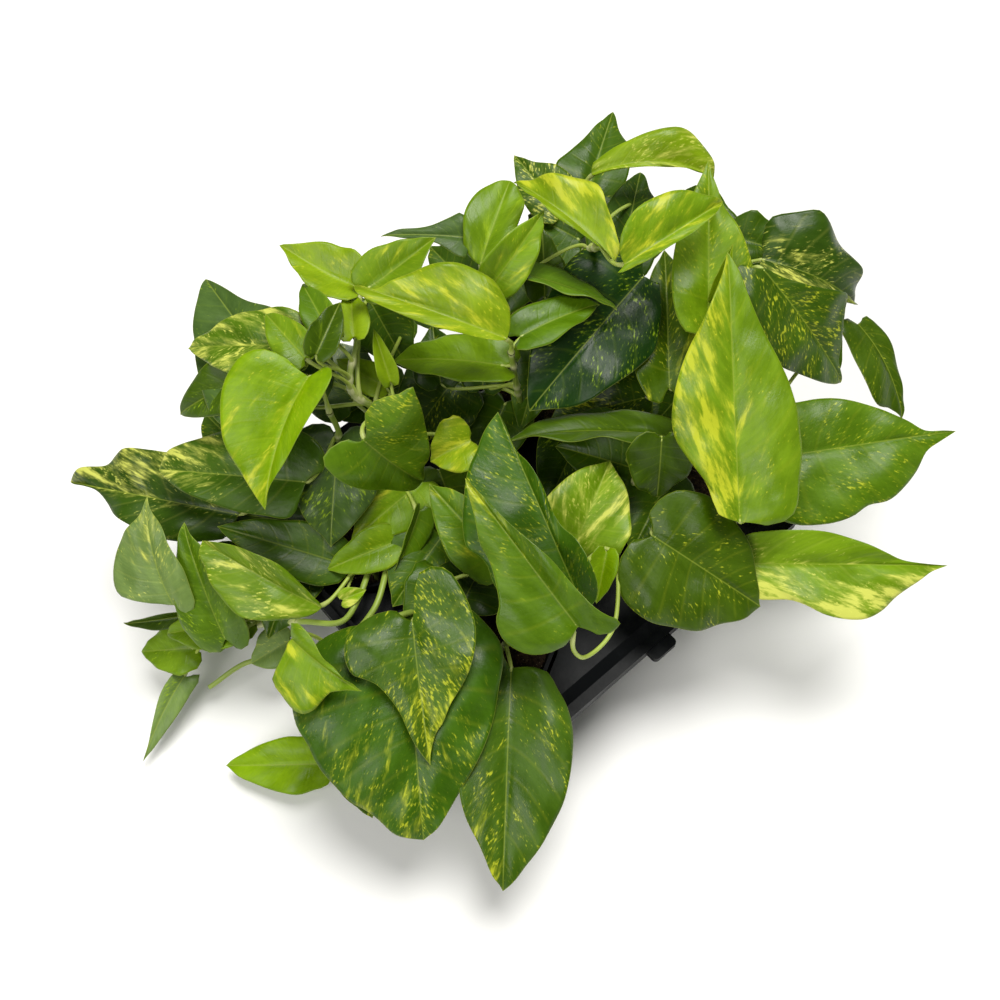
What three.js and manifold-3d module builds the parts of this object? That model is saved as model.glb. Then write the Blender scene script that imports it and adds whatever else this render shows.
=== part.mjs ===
// Golden pothos: four round nursery pots of trailing vines, standing together in one black carry tray.
// Units are millimetres, +Z is up, and the origin is the middle of the tray's underside.
// X runs across the tray towards the picture's lower right and Y towards its upper right.

import * as THREE from 'three';
import { mergeVertices } from 'three/addons/utils/BufferGeometryUtils.js';
import Module from 'manifold-3d';

const wasm = await Module();
wasm.setup();

// ---------------------------------------------------------------- driving dimensions

const GAP = 0.3;                 // clearance between pieces that rest on each other

const TRAY = {
  halfX: 135.5,                  // half the outer size along X
  halfY: 150,                    // half the outer size along Y
  corner: 16,                    // corner radius seen from above
  deckZ: 84,                     // top of the flat deck
  lipX: 7, lipY: 5,              // width of the flat lip on the X ends and on the Y sides
  bevelX: 7, bevelY: 3,          // width of the sloping band between the deck and the lip
  bevelDrop: 5,                  // how far the lip lies below the deck
  lipDepth: 9,                   // the lip's outer edge turned down
  wall: 1.5,                     // sheet thickness
  ribWidth: 16, ribHeight: 3,    // cross ribs and pocket floors that the tray stands on
  seatInner: 24,                 // radius of the hole in each pocket floor
};
const LUG = { width: 20, reach: 8, height: 5, corner: 3 };

const POT = {
  rim: 52.5,                     // outer radius of the collar: a 10.5 cm pot
  body: 49,                      // outer radius just under the collar
  foot: 37,                      // outer radius at the base
  height: 88,
  collar: 12,
  wall: 1.2,
  floor: 2,
  drainRadius: 4, drainAt: 24, drains: 4,
  sides: 20,
};
const POCKET = { top: 54, bottom: 41 };   // inner radii of a tray pocket
const POT_X = 56;                         // pot centres, left and right of the tray's middle
const POT_Y = 88;
const SOIL_Z = 77;                        // mean level of the potting soil
const HOLE_DEPTH = 26;                    // how deep a stem stands in the soil

const STEM_RADIUS = 2.4;
const STEM_HOLE = 3.15;                   // corner radius of the six-sided hole in the soil
const PETIOLE_RADIUS = 1.6;
const PETIOLE_SWING = 12;                 // the most that a stalk swings out before it meets the blade
const BLADE_THICKNESS = 0.8;
const WIDEST = 0.28;                      // where along the blade it is widest
const LARGE_LEAF = 75;                    // blades longer than this have more rows of facets
const SMALL_LEAF = 48;                    // blades shorter than this have fewer
const LOBE = 0.17;                        // how far the heart's lobes reach back, as a share of the length

// ---------------------------------------------------------------- materials

const plain = (color, roughness) => new THREE.MeshStandardMaterial({ color, roughness, metalness: 0 });
const BLACK_TRAY = plain(0x1c1e20, 0.42);
const BLACK_POT = plain(0x17181a, 0.5);
const SOIL_BROWN = plain(0x2c221b, 0.95);
const LEAF_GREENS = [0x5f8f2a, 0x86ad26, 0x3f6d2c, 0x9cbf2e].map((color) => plain(color, 0.38));

// ---------------------------------------------------------------- solids

/** A closed geometry as a solid that can be joined and cut. */
function solid(geometry) {
  const bare = geometry.index ? geometry.toNonIndexed() : geometry.clone();
  bare.deleteAttribute('normal');
  bare.deleteAttribute('uv');
  const merged = mergeVertices(bare, 1e-4);
  return new wasm.Manifold(new wasm.Mesh({
    numProp: 3,
    vertProperties: new Float32Array(merged.attributes.position.array),
    triVerts: new Uint32Array(merged.index.array),
  }));
}

function joined(solids) {
  return solids.reduce((whole, piece) => whole.add(piece));
}

/** The main body of a joined solid, with the small hollows that joining seals filled in. */
function mainBody(body) {
  return body.decompose().reduce((main, piece) => (piece.volume() > main.volume() ? piece : main));
}

/** A solid as a named mesh. */
function namedMesh(name, body, material) {
  const { vertProperties, triVerts } = body.getMesh();
  const geometry = new THREE.BufferGeometry();
  geometry.setAttribute('position', new THREE.BufferAttribute(new Float32Array(vertProperties), 3));
  geometry.setIndex(new THREE.BufferAttribute(new Uint32Array(triVerts), 1));
  geometry.computeVertexNormals();
  const mesh = new THREE.Mesh(geometry, material);
  mesh.name = name;
  return mesh;
}

/** A solid of revolution about Z from a closed [radius, z] profile. */
function turned(profile, sides) {
  const points = profile.map(([radius, z]) => new THREE.Vector2(radius, z));
  points.push(points[0].clone());
  return solid(new THREE.LatheGeometry(points, sides).rotateX(Math.PI / 2));
}

function upright(radius, height, sides, x, y, z) {
  const geometry = new THREE.CylinderGeometry(radius, radius, height, sides).rotateX(Math.PI / 2);
  return solid(geometry.translate(x, y, z + height / 2));
}

function roundedOutline(halfX, halfY, corner) {
  const shape = new THREE.Shape();
  shape.moveTo(halfX, -halfY + corner);
  shape.lineTo(halfX, halfY - corner);
  shape.absarc(halfX - corner, halfY - corner, corner, 0, Math.PI / 2);
  shape.absarc(-halfX + corner, halfY - corner, corner, Math.PI / 2, Math.PI);
  shape.absarc(-halfX + corner, -halfY + corner, corner, Math.PI, 1.5 * Math.PI);
  shape.absarc(halfX - corner, -halfY + corner, corner, 1.5 * Math.PI, 2 * Math.PI);
  return shape;
}

/** A closed body through level rounded outlines of [halfX, halfY, corner, z], lowest first. */
function lofted(levels) {
  const arcs = 3;
  const loops = levels.map(([halfX, halfY, corner, z]) => {
    const loop = [];
    for (const [sx, sy, start] of [[1, 1, 0], [-1, 1, 1], [-1, -1, 2], [1, -1, 3]]) {
      for (let i = 0; i <= arcs; i++) {
        const angle = (start + i / arcs) * Math.PI / 2;
        loop.push([sx * (halfX - corner) + corner * Math.cos(angle),
          sy * (halfY - corner) + corner * Math.sin(angle), z]);
      }
    }
    return loop;
  });
  const count = loops[0].length;
  const corners = loops.flat();
  const faces = [];
  for (let level = 0; level + 1 < loops.length; level++) {
    for (let i = 0; i < count; i++) {
      const a = level * count + i;
      const b = level * count + (i + 1) % count;
      faces.push(a, b, b + count, a, b + count, a + count);
    }
  }
  const top = (loops.length - 1) * count;
  for (let i = 1; i + 1 < count; i++) {
    faces.push(0, i + 1, i, top, top + i, top + i + 1);
  }
  return indexed(corners, faces);
}

function indexed(corners, faces) {
  const geometry = new THREE.BufferGeometry();
  geometry.setAttribute('position', new THREE.Float32BufferAttribute(corners.flat(), 3));
  geometry.setIndex(faces);
  return solid(geometry);
}

// ---------------------------------------------------------------- tray

const POT_CENTRES = {
  pot_left: [-POT_X, -POT_Y],
  pot_front: [POT_X, -POT_Y],
  pot_right: [POT_X, POT_Y],
  pot_back: [-POT_X, POT_Y],
};

/** The deck with its sloping band and turned-down lip, as one thin pressed sheet. */
function traySheet() {
  const { halfX, halfY, corner, deckZ, lipX, lipY, bevelX, bevelY, bevelDrop, lipDepth, wall } = TRAY;
  const lipZ = deckZ - bevelDrop;
  const deckHalfX = halfX - lipX - bevelX;
  const deckHalfY = halfY - lipY - bevelY;
  const outer = lofted([
    [halfX, halfY, corner, lipZ - lipDepth],
    [halfX, halfY, corner, lipZ],
    [halfX - lipX, halfY - lipY, corner - 4, lipZ + 0.01],
    [deckHalfX, deckHalfY, corner - 7, deckZ],
  ]);
  const inner = lofted([
    [halfX - wall, halfY - wall, corner - wall, lipZ - lipDepth - 1],
    [halfX - wall, halfY - wall, corner - wall, lipZ - wall],
    [halfX - lipX - wall, halfY - lipY - wall, corner - 5.5, lipZ - wall + 0.01],
    [deckHalfX - wall, deckHalfY - wall, corner - 8, deckZ - wall],
  ]);
  return outer.subtract(inner);
}

/** One tapered pocket: its wall, and the ring at the bottom that the pot stands on. */
function pocketWall(x, y) {
  const { deckZ, wall, ribHeight, seatInner } = TRAY;
  return turned([
    [seatInner, 0],
    [POCKET.bottom + wall, 0],
    [POCKET.top + wall, deckZ - wall / 2],
    [POCKET.top, deckZ - wall / 2],
    [POCKET.bottom, ribHeight],
    [seatInner, ribHeight],
  ], POT.sides).translate(x, y, 0);
}

/** Cross ribs between the pocket floors, which the tray stands on. */
function floorRibs() {
  const { ribWidth, ribHeight } = TRAY;
  const along = new THREE.BoxGeometry(2 * (POT_X - TRAY.seatInner), ribWidth, ribHeight);
  const across = new THREE.BoxGeometry(ribWidth, 2 * (POT_Y - TRAY.seatInner), ribHeight);
  const middle = new THREE.BoxGeometry(ribWidth, 2 * POT_Y, ribHeight);
  const half = ribHeight / 2;
  const ribs = [solid(middle.translate(0, 0, half))];
  for (const side of [-1, 1]) {
    ribs.push(solid(along.clone().translate(0, side * POT_Y, half)));
    ribs.push(solid(across.clone().translate(side * POT_X, 0, half)));
  }
  ribs.push(solid(new THREE.BoxGeometry(2 * POT_X, ribWidth, ribHeight).translate(0, 0, half)));
  return joined(ribs);
}

/** The small rounded tab that sticks out under the lip in the middle of an X end. */
function lug(side) {
  const depth = LUG.reach + TRAY.wall / 2;
  const shape = roundedOutline(depth / 2 + LUG.corner, LUG.width / 2, LUG.corner);
  const tab = new THREE.ExtrudeGeometry(shape, { depth: LUG.height, bevelEnabled: false, curveSegments: 2 });
  const centre = TRAY.halfX - TRAY.wall / 2 + depth / 2 - LUG.corner;
  const lipZ = TRAY.deckZ - TRAY.bevelDrop;
  const inside = new THREE.BoxGeometry(40, 60, 40).translate(TRAY.halfX - TRAY.wall - 20, 0, lipZ);
  const whole = solid(tab.translate(centre, 0, lipZ - 2 - LUG.height)).subtract(solid(inside));
  return side > 0 ? whole : whole.rotate([0, 0, 180]);
}

function trayBody() {
  const centres = Object.values(POT_CENTRES);
  const holes = centres.map(([x, y]) => upright(POCKET.top, 20, POT.sides, x, y, TRAY.deckZ - 8));
  const sheet = holes.reduce((body, hole) => body.subtract(hole), traySheet());
  return joined([sheet, ...centres.map(([x, y]) => pocketWall(x, y)), floorRibs(), lug(1), lug(-1)]);
}

// ---------------------------------------------------------------- pots and soil

const POT_FLOOR_Z = TRAY.ribHeight + GAP;
const POT_TOP_Z = POT_FLOOR_Z + POT.height;

/** Inner radius of a pot's tapering wall at height z above its own base. */
function potInside(z) {
  const share = z / (POT.height - POT.collar);
  return POT.foot + (POT.body - POT.foot) * share - POT.wall;
}

function potBody(x, y) {
  const { rim, body, foot, height, collar, wall, floor } = POT;
  const shell = turned([
    [0, 0],
    [foot, 0],
    [body, height - collar],
    [rim - 1, height - collar],
    [rim, height],
    [rim - 2.4, height],
    [potInside(height - collar), height - collar],
    [potInside(floor), floor],
    [0, floor],
  ], POT.sides);
  const drains = Array.from({ length: POT.drains }, (_, i) => {
    const angle = (i + 0.5) * 2 * Math.PI / POT.drains;
    return upright(POT.drainRadius, floor + 2, 6,
      POT.drainAt * Math.cos(angle), POT.drainAt * Math.sin(angle), -1);
  });
  return drains.reduce((pot, hole) => pot.subtract(hole), shell).translate(x, y, POT_FLOOR_Z);
}

/** The plug of potting soil, uneven on top, with a plain hole for each stem. */
function soilBody(x, y, stems) {
  const low = POT.floor + GAP;
  const high = SOIL_Z - POT_FLOOR_Z;
  const side = (z) => potInside(z) - GAP;
  const plug = turned([
    [0, low],
    [side(low), low],
    [side(high - 3), high - 3],
    [30, high + 1.2],
    [14, high - 0.8],
    [0, high],
  ], POT.sides).translate(x, y, POT_FLOOR_Z);
  return stems.reduce((soil, vine) => {
    const [sx, sy] = vine.stem[0];
    return soil.subtract(upright(STEM_HOLE, HOLE_DEPTH + 10, 6, sx, sy, SOIL_Z - HOLE_DEPTH));
  }, plug);
}

// ---------------------------------------------------------------- leaves and vines

const vector = ([x, y, z]) => new THREE.Vector3(x, y, z);

/** Half the blade's width at a share t of its length, where 1 is the widest. */
function bladeShape(t) {
  if (t < WIDEST) {
    const back = (WIDEST - t) / WIDEST;
    return Math.sqrt(1 - 0.74 * back * back);
  }
  const on = (t - WIDEST) / (1 - WIDEST);
  return (1 - on) ** 1.25 * (1 + 1.25 * on);
}

/** The blade's midrib, and the way its upper face looks at each point. */
function bladeFrame(leaf) {
  const base = vector(leaf.base);
  const tip = vector(leaf.tip);
  const chord = tip.clone().sub(base);
  const face = vector(leaf.face);
  face.addScaledVector(chord, -face.dot(chord) / chord.lengthSq()).normalize();
  const bend = base.clone().lerp(tip, 0.45).addScaledVector(face, leaf.arch ?? 0);
  const midrib = new THREE.QuadraticBezierCurve3(base, bend, tip);
  const twist = THREE.MathUtils.degToRad(leaf.twist ?? 0);
  const at = (t) => {
    const forward = midrib.getTangent(t);
    const up = face.clone().addScaledVector(forward, -face.dot(forward)).normalize();
    up.applyAxisAngle(forward, twist * t);
    return { point: midrib.getPoint(t), forward, up, across: forward.clone().cross(up) };
  };
  return { at, length: chord.length() };
}

/** Where along a blade its rows of facets stand, as shares of its length. */
function facetRows(length) {
  if (length > LARGE_LEAF) return [0, 0.1, 0.27, 0.5, 0.77];
  return length > SMALL_LEAF ? [0, 0.15, 0.45, 0.75] : [0, 0.25, 0.65];
}

/** One heart-shaped blade: two alike grids of triangles, a thickness apart, closed round the edge. */
function blade(leaf) {
  const frame = bladeFrame(leaf);
  const rows = facetRows(frame.length);
  const columns = [-1, 0, 1];
  const fold = THREE.MathUtils.degToRad(leaf.fold ?? 12);
  const upper = rows.flatMap((t) => {
    const { point, forward, up, across } = frame.at(t);
    const half = leaf.width / 2 * bladeShape(t);
    const back = LOBE * frame.length * Math.max(0, 1 - t / 0.5) ** 2;
    return columns.map((s) => point.clone()
      .addScaledVector(across, half * s * Math.cos(fold))
      .addScaledVector(up, half * Math.abs(s) ** 1.4 * Math.sin(fold) + BLADE_THICKNESS / 2)
      .addScaledVector(forward, -back * Math.abs(s) ** 1.3));
  });
  const end = frame.at(1);
  upper.push(end.point.clone().addScaledVector(end.up, BLADE_THICKNESS / 2));
  const ups = [...rows.flatMap((t) => columns.map(() => frame.at(t).up)), end.up];
  const lower = upper.map((corner, i) => corner.clone().addScaledVector(ups[i], -BLADE_THICKNESS));

  const wide = columns.length;
  const tip = rows.length * wide;
  const faces = [];
  for (let row = 0; row + 1 < rows.length; row++) {
    for (let col = 0; col + 1 < wide; col++) {
      const a = row * wide + col;
      const left = col < (wide - 1) / 2;
      faces.push(...(left ? [[a, a + 1, a + wide], [a + 1, a + wide + 1, a + wide]]
        : [[a, a + 1, a + wide + 1], [a, a + wide + 1, a + wide]]));
    }
  }
  for (let col = 0; col + 1 < wide; col++) {
    faces.push([tip - wide + col, tip - wide + col + 1, tip]);
  }
  const rim = [];
  for (let col = 0; col < wide; col++) rim.push(col);
  for (let row = 1; row < rows.length; row++) rim.push(row * wide + wide - 1);
  rim.push(tip);
  for (let row = rows.length - 1; row > 0; row--) rim.push(row * wide);

  const under = upper.length;
  const index = [];
  for (const [a, b, c] of faces) index.push(a, b, c, under + a, under + c, under + b);
  rim.forEach((a, i) => {
    const b = rim[(i + 1) % rim.length];
    index.push(a, under + a, under + b, a, under + b, b);
  });
  const body = indexed([...upper, ...lower].map((corner) => corner.toArray()), index);
  return body.volume() < 0 ? indexed([...upper, ...lower].map((c) => c.toArray()), index.reverse()) : body;
}

/** A round tube with few sides along a curve, in straight pieces of like length. */
function tube(curve, radius, sides, steps) {
  const ring = Array.from({ length: sides }, (_, i) => {
    const angle = 2 * Math.PI * i / sides;
    return new THREE.Vector2(radius * Math.cos(angle), radius * Math.sin(angle));
  });
  const options = { steps, bevelEnabled: false, extrudePath: curve };
  return solid(new THREE.ExtrudeGeometry(new THREE.Shape(ring), options));
}

/** The point on the middle line of a stem's tube at a share of its length. */
function stemPoint(curve, steps, share) {
  const joints = curve.getSpacedPoints(steps);
  const before = Math.min(Math.floor(share * steps), steps - 1);
  return joints[before].clone().lerp(joints[before + 1], share * steps - before);
}

/** The leaf stalk, from its place on the stem to the notch of the blade, which it meets from below. */
function petiole(start, leaf) {
  const { point, forward, up } = bladeFrame(leaf).at(0);
  const reach = start.distanceTo(point);
  const rise = leaf.via ? vector(leaf.via) : start.clone().add(new THREE.Vector3(0, 0, 0.4 * reach));
  const swing = Math.min(0.25 * reach, PETIOLE_SWING);
  const arrive = point.clone().addScaledVector(forward, -swing).addScaledVector(up, -swing);
  const end = point.clone().addScaledVector(forward, 2);
  return tube(new THREE.CubicBezierCurve3(start, rise, arrive, end), PETIOLE_RADIUS, 3, 3);
}

/** A vine: its stem, with every stalk and blade that grows from it, as one body. */
function vineBody(vine) {
  const curve = new THREE.CatmullRomCurve3(vine.stem.map(vector));
  const steps = vine.stem.length + 2;
  const stem = tube(curve, STEM_RADIUS, 5, steps);
  const [x, y, z] = vine.stem[0];
  const rootZ = SOIL_Z - HOLE_DEPTH + GAP;
  const root = upright(STEM_RADIUS, z + 1 - rootZ, 5, x, y, rootZ);
  const leaves = vine.leaves.flatMap((leaf) => {
    const start = stemPoint(curve, steps, leaf.at);
    return [petiole(start, leaf), blade(leaf)];
  });
  return mainBody(joined([stem, root, ...leaves]));
}

// Every leaf: its name, where its stalk leaves the stem (a share of the stem), where the blade begins and
// ends, its width, which way its upper face looks, how far its midrib arches, how far its halves fold up
// in degrees, and for some a point that the stalk bends over.
const leaf = (id, at, base, tip, width, face, arch, fold, via) =>
  ({ id, at, base, tip, width, face, arch, fold, via });

const VINES = {
  front_right: {
    pot: 'pot_front',
    stem: [[74, -84, 80], [77, -81, 96], [84, -74, 112], [88, -60, 124]],
    leaves: [
      leaf('front_long', 0.3, [91, -88, 97], [183, -176, 55], 72, [2, -2, 5], 17, 8),
      leaf('front_large', 0.6, [114, -56, 150], [17, -56, 195], 80, [2, -2, 5], 6, 12),
      leaf('front_behind', 1, [92, -36, 136], [-16, -5, 182], 78, [2, -2, 5], 6, 10),
      leaf('shiny', 0.9, [62, -8, 118], [40, 42, 142], 62, [1, -1, 4], 8, 12),
    ],
  },
  front_left: {
    pot: 'pot_front',
    stem: [[40, -98, 80], [40, -99, 96], [37, -96, 110], [30, -84, 118]],
    leaves: [
      leaf('broad_dark', 0.3, [42, -129, 118], [132, -194, 70], 122, [1.2, -0.8, 3], 18, 6),
      leaf('speckled', 0.6, [41, -123, 136], [107, -166, 100], 76, [1, -1, 3], 8, 8),
      leaf('shade_front', 0.5, [42, -86, 108], [24, -52, 99], 50, [1, -1, 4], 4, 6),
      leaf('half_hidden', 1, [41, -54, 120], [-22, -58, 146], 44, [1, -1, 3], 5, 14),
    ],
  },
  front_hanging: {
    pot: 'pot_front',
    stem: [[22, -104, 80], [21, -112, 98], [18, -132, 104], [18, -158, 92], [26, -186, 52], [32, -202, 28]],
    leaves: [
      leaf('low_lime', 1, [37, -209, 22], [-9, -259, 12], 38, [1, -1, 4], 6, 12),
      leaf('low_hidden', 0.75, [44, -186, 40], [88, -206, 22], 36, [1, -1, 3], 8, 10),
    ],
  },
  left_trailing: {
    pot: 'pot_left',
    stem: [[-24, -108, 80], [-20, -114, 98], [-8, -132, 100], [-4, -148, 96],
      [-28, -168, 84], [-58, -196, 66], [-76, -222, 46]],
    leaves: [
      leaf('pale_upright', 0.8, [-85, -224, 96], [-137, -198, 140], 46, [2, -3, 3], 4, 10),
      leaf('narrow_edge', 0.72, [-53, -211, 76], [-110, -190, 132], 46, [1, -2, 3], 6, 14),
      leaf('needle', 0.93, [-94, -220, 60], [-120, -256, 55], 16, [1, -1, 1], 2, 40),
      leaf('low_fold', 0.7, [-56, -192, 74], [-96, -238, 52], 36, [1, -1, 3], 6, 25),
      leaf('low_round', 1, [-78, -228, 44], [-106, -258, 34], 36, [1, -1, 3], 5, 12),
      leaf('low_long', 0.97, [-72, -245, 31], [-49, -300, 9], 30, [2, -1, 3], 5, 14),
    ],
  },
  left_creeping: {
    pot: 'pot_left',
    stem: [[-22, -98, 80], [-14, -104, 98], [4, -128, 100], [6, -156, 88],
      [-6, -170, 62], [-26, -182, 44], [-50, -206, 34], [-58, -236, 22]],
    leaves: [
      leaf('skirt_lobed', 0.45, [5, -185, 142], [54, -172, 128], 48, [1, -2, 3], 8, 12),
      leaf('skirt_small', 0.74, [-34, -177, 56], [-42, -206, 46], 30, [1, -1, 4], 4, 12),
    ],
  },
  left_outer: {
    pot: 'pot_left',
    stem: [[-78, -100, 80], [-84, -96, 100], [-92, -84, 130], [-82, -82, 160], [-79, -86, 190]],
    leaves: [
      leaf('lime_heart', 1, [-86, -91, 224], [-56, -156, 180], 72, [2, -2, 5], 8, 10),
      leaf('under_lime', 0.7, [-87, -80, 147], [-43, -126, 113], 66, [2, -2, 5], 8, 8),
      leaf('left_upper', 0.6, [-74, -116, 146], [-156, -181, 132], 54, [1, -1, 3], 8, 8),
      leaf('leftmost', 0.4, [-106, -156, 108], [-218, -229, 92], 70, [1, -1, 3], 14, 14),
      leaf('under_dark', 0.2, [-69, -120, 98], [-143, -174, 92], 50, [1, -1, 4], 5, 8),
    ],
  },
  left_high: {
    pot: 'pot_left',
    stem: [[-84, -70, 80], [-77, -56, 120], [-76, -54, 160],
      [-84, -66, 192], [-98, -46, 212], [-116, -30, 222]],
    leaves: [
      leaf('dark_wing', 0.5, [-108, -94, 178], [-224, -83, 188], 80, [1, -1, 4], 8, 8),
      leaf('cream_streak', 0.62, [-114, -78, 215], [-175, -126, 195], 46, [1, -1, 3], 5, 14),
      leaf('curled_tip', 0.45, [-126, -100, 198], [-160, -152, 162], 38, [1, -1, 3], 12, 14),
      leaf('bud_a', 0.66, [-97, -84, 224], [-136, -84, 230], 26, [1, -1, 3], 4, 16),
      leaf('bud_b', 0.7, [-89, -80, 232], [-107, -48, 238], 22, [2, -1, 3], 4, 25),
      leaf('bud_c', 0.76, [-100, -62, 222], [-144, -52, 226], 24, [1, -1, 3], 4, 25),
      leaf('bud_d', 0.9, [-92, -52, 222], [-121, -32, 220], 24, [1, -1, 3], 4, 20),
      leaf('twin_left', 0.96, [-122, -27, 222], [-170, -48, 236], 40, [1, 0, 3], -6, 24),
      leaf('twin_right', 1, [-112, -26, 228], [-103, 22, 246], 38, [1, 0, 3], -4, 20),
      leaf('back_left_low', 0.35, [-112, -52, 136], [-188, -34, 98], 58, [-1, -1, 3], 12, 10),
    ],
  },
  left_inner: {
    pot: 'pot_left',
    stem: [[-44, -78, 80], [-62, -60, 104], [-69, -48, 140], [-62, -50, 170]],
    leaves: [
      leaf('mid_heart', 0.75, [-46, -84, 194], [-31, -55, 132], 78, [2, -2, 3], 10, 8),
      leaf('hooked', 0.4, [-39, -52, 120], [-42, -112, 104], 46, [1, -1, 3], 8, 12),
      leaf('star_tip', 0.2, [-21, -91, 109], [-37, -136, 103], 32, [1, -1, 3], 4, 20),
      leaf('edge_on', 0.3, [-22, -68, 122], [-6, -106, 100], 26, [1, 1, 1], 3, 30),
      leaf('glossy_streaked', 0.1, [-16, -154, 105], [-93, -188, 130], 62, [1, -2, 4], 12, 10,
        [-34, -96, 116]),
      leaf('under_glossy', 0.05, [-38, -127, 102], [-104, -173, 116], 40, [1, -1, 4], 4, 10),
      leaf('little_yellow', 0.6, [-27, -19, 150], [-36, -46, 142], 40, [1, -1, 3], 3, 14),
      leaf('sheath_a', 0.9, [-81, -43, 174], [-119, -54, 176], 22, [1, -1, 3], 2, 20),
      leaf('sheath_b', 1, [-72, -44, 190], [-95, -36, 214], 16, [2, -1, 1], 2, 35),
      leaf('curved_olive', 0.25, [-42, -36, 114], [20, -58, 100], 44, [1, -1, 3], 6, 14),
    ],
  },
  back_inner: {
    pot: 'pot_back',
    stem: [[-52, 50, 80], [-48, 44, 104], [-40, 32, 150], [-36, 24, 196]],
    leaves: [
      leaf('streaked_long', 1, [-32, 18, 218], [-112, -35, 239], 56, [1, -1, 3], 10, 8),
      leaf('side_small', 1, [-38, 33, 202], [-26, 91, 199], 32, [0, -1, 3], 6, 14),
      leaf('curled_rim', 0.85, [-40, 22, 180], [-104, -23, 162], 42, [0, 0, 1], 8, 18),
      leaf('shade_a', 0.5, [-77, -3, 146], [-110, 18, 160], 36, [1, -1, 3], 4, 10),
      leaf('shade_b', 0.6, [-59, 18, 140], [-83, 46, 154], 32, [1, -1, 3], 4, 10),
      leaf('deep_left', 0.3, [-86, 14, 124], [-75, -36, 110], 62, [1, -1, 4], 6, 8),
    ],
  },
  back_left: {
    pot: 'pot_back',
    stem: [[-84, 72, 80], [-88, 68, 110], [-92, 58, 150], [-90, 50, 190]],
    leaves: [
      leaf('grey_point', 0.85, [-113, 57, 213], [-153, 14, 214], 44, [1, -1, 4], 6, 12),
      leaf('striped_round', 0.93, [-96, 50, 206], [-122, 99, 230], 46, [1, -1, 3], 6, 12),
      leaf('spine_tip', 1, [-73, 40, 214], [-77, 88, 244], 32, [2, -1, 2], 4, 30),
      leaf('back_low_a', 0.5, [-112, 58, 146], [-192, 34, 100], 58, [-1, -1, 3], 12, 10),
      leaf('back_low_b', 0.4, [-106, 92, 138], [-182, 132, 92], 60, [-1, 1, 3], 12, 10),
    ],
  },
  back_right: {
    pot: 'pot_back',
    stem: [[-36, 96, 80], [-54, 102, 112], [-72, 112, 150], [-70, 116, 190], [-44, 110, 222]],
    leaves: [
      leaf('cream_edge', 1, [-24, 98, 234], [-110, 90, 247], 50, [2, -1, 4], 10, 14),
      leaf('streaked_fan', 0.9, [-15, 96, 240], [-4, 169, 252], 48, [1, -1, 2], 6, 16),
      leaf('blue_dark', 0.85, [-28, 133, 192], [-12, 18, 164], 82, [2, -2, 5], 12, 6),
      leaf('thin_bar', 0.8, [-71, 65, 208], [-12, 92, 206], 30, [-1, 1, 3], 4, 10),
      leaf('olive_back', 0.6, [-62, 76, 186], [-92, 100, 210], 30, [2, -1, 3], 3, 10),
      leaf('dark_gap', 0.6, [-50, 133, 182], [-97, 198, 194], 46, [1, -1, 3], 6, 10),
    ],
  },
  back_far: {
    pot: 'pot_back',
    stem: [[-72, 120, 80], [-76, 124, 110], [-90, 130, 150], [-98, 136, 184]],
    leaves: [
      leaf('top_cream', 1, [-102, 153, 215], [-48, 218, 210], 52, [1, -2, 3], 16, 10),
      leaf('top_dark', 0.9, [-112, 162, 188], [-149, 221, 200], 56, [1, -1, 3], 4, 8),
      leaf('top_speckled', 0.85, [-109, 131, 190], [-165, 138, 200], 44, [1, -1, 3], 4, 10),
      leaf('back_low_c', 0.5, [-92, 152, 148], [-120, 226, 102], 58, [-1, 1, 3], 12, 10),
    ],
  },
  right_front: {
    pot: 'pot_right',
    stem: [[88, 74, 80], [92, 82, 98], [106, 88, 114], [119, 84, 130], [128, 74, 146]],
    leaves: [
      leaf('tall_lime', 1, [130, 63, 155], [19, 151, 240], 84, [2, -2, 5], -4, 6),
      leaf('right_pale', 0.7, [136, 58, 116], [228, 171, 102], 66, [1, -1, 3], 8, 12),
      leaf('round_olive', 0.3, [96, 24, 140], [168, 55, 106], 80, [2, -2, 5], 6, 6),
    ],
  },
  right_side: {
    pot: 'pot_right',
    stem: [[84, 112, 80], [86, 114, 104], [90, 126, 126], [80, 150, 146],
      [50, 166, 168], [20, 174, 184], [8, 180, 188]],
    leaves: [
      leaf('right_green', 0.3, [106, 122, 138], [174, 226, 144], 84, [1, -1, 3], 8, 6),
      leaf('far_dark', 0.4, [76, 241, 150], [137, 234, 108], 46, [2, 0, 2], 6, 10),
      leaf('speckled_dark', 0.85, [34, 169, 224], [101, 199, 144], 72, [2, -1, 3], 12, 8),
      leaf('bent_dark', 1, [17, 194, 200], [68, 247, 158], 70, [1, -1, 3], 24, 8),
    ],
  },
  right_back: {
    pot: 'pot_right',
    stem: [[34, 104, 80], [40, 116, 106], [46, 132, 150], [38, 140, 184], [30, 138, 192]],
    leaves: [
      leaf('behind_tall', 1, [27, 134, 198], [-35, 192, 248], 54, [2, -2, 4], 4, 12),
      leaf('yellow_foot', 0.7, [33, 100, 160], [-36, 160, 192], 47, [2, -2, 4], 4, 10),
      leaf('new_leaf', 1, [22, 142, 206], [14, 162, 234], 12, [1, -1, 1], 2, 40),
      leaf('back_low_d', 0.6, [14, 152, 150], [-12, 226, 104], 56, [-1, 1, 3], 12, 10),
      leaf('deep_centre', 0.22, [10, 107, 119], [-24, 47, 107], 70, [1, -1, 4], 6, 8),
    ],
  },
  right_inner: {
    pot: 'pot_right',
    stem: [[50, 56, 80], [52, 52, 104], [58, 50, 136], [64, 56, 160]],
    leaves: [
      leaf('small_heart', 1, [63, 60, 176], [76, 50, 130], 44, [2, -2, 2], 5, 8),
      leaf('folded_bar', 0.8, [54, 76, 152], [-12, -3, 152], 44, [-3, 3, 8], 10, 12),
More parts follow.
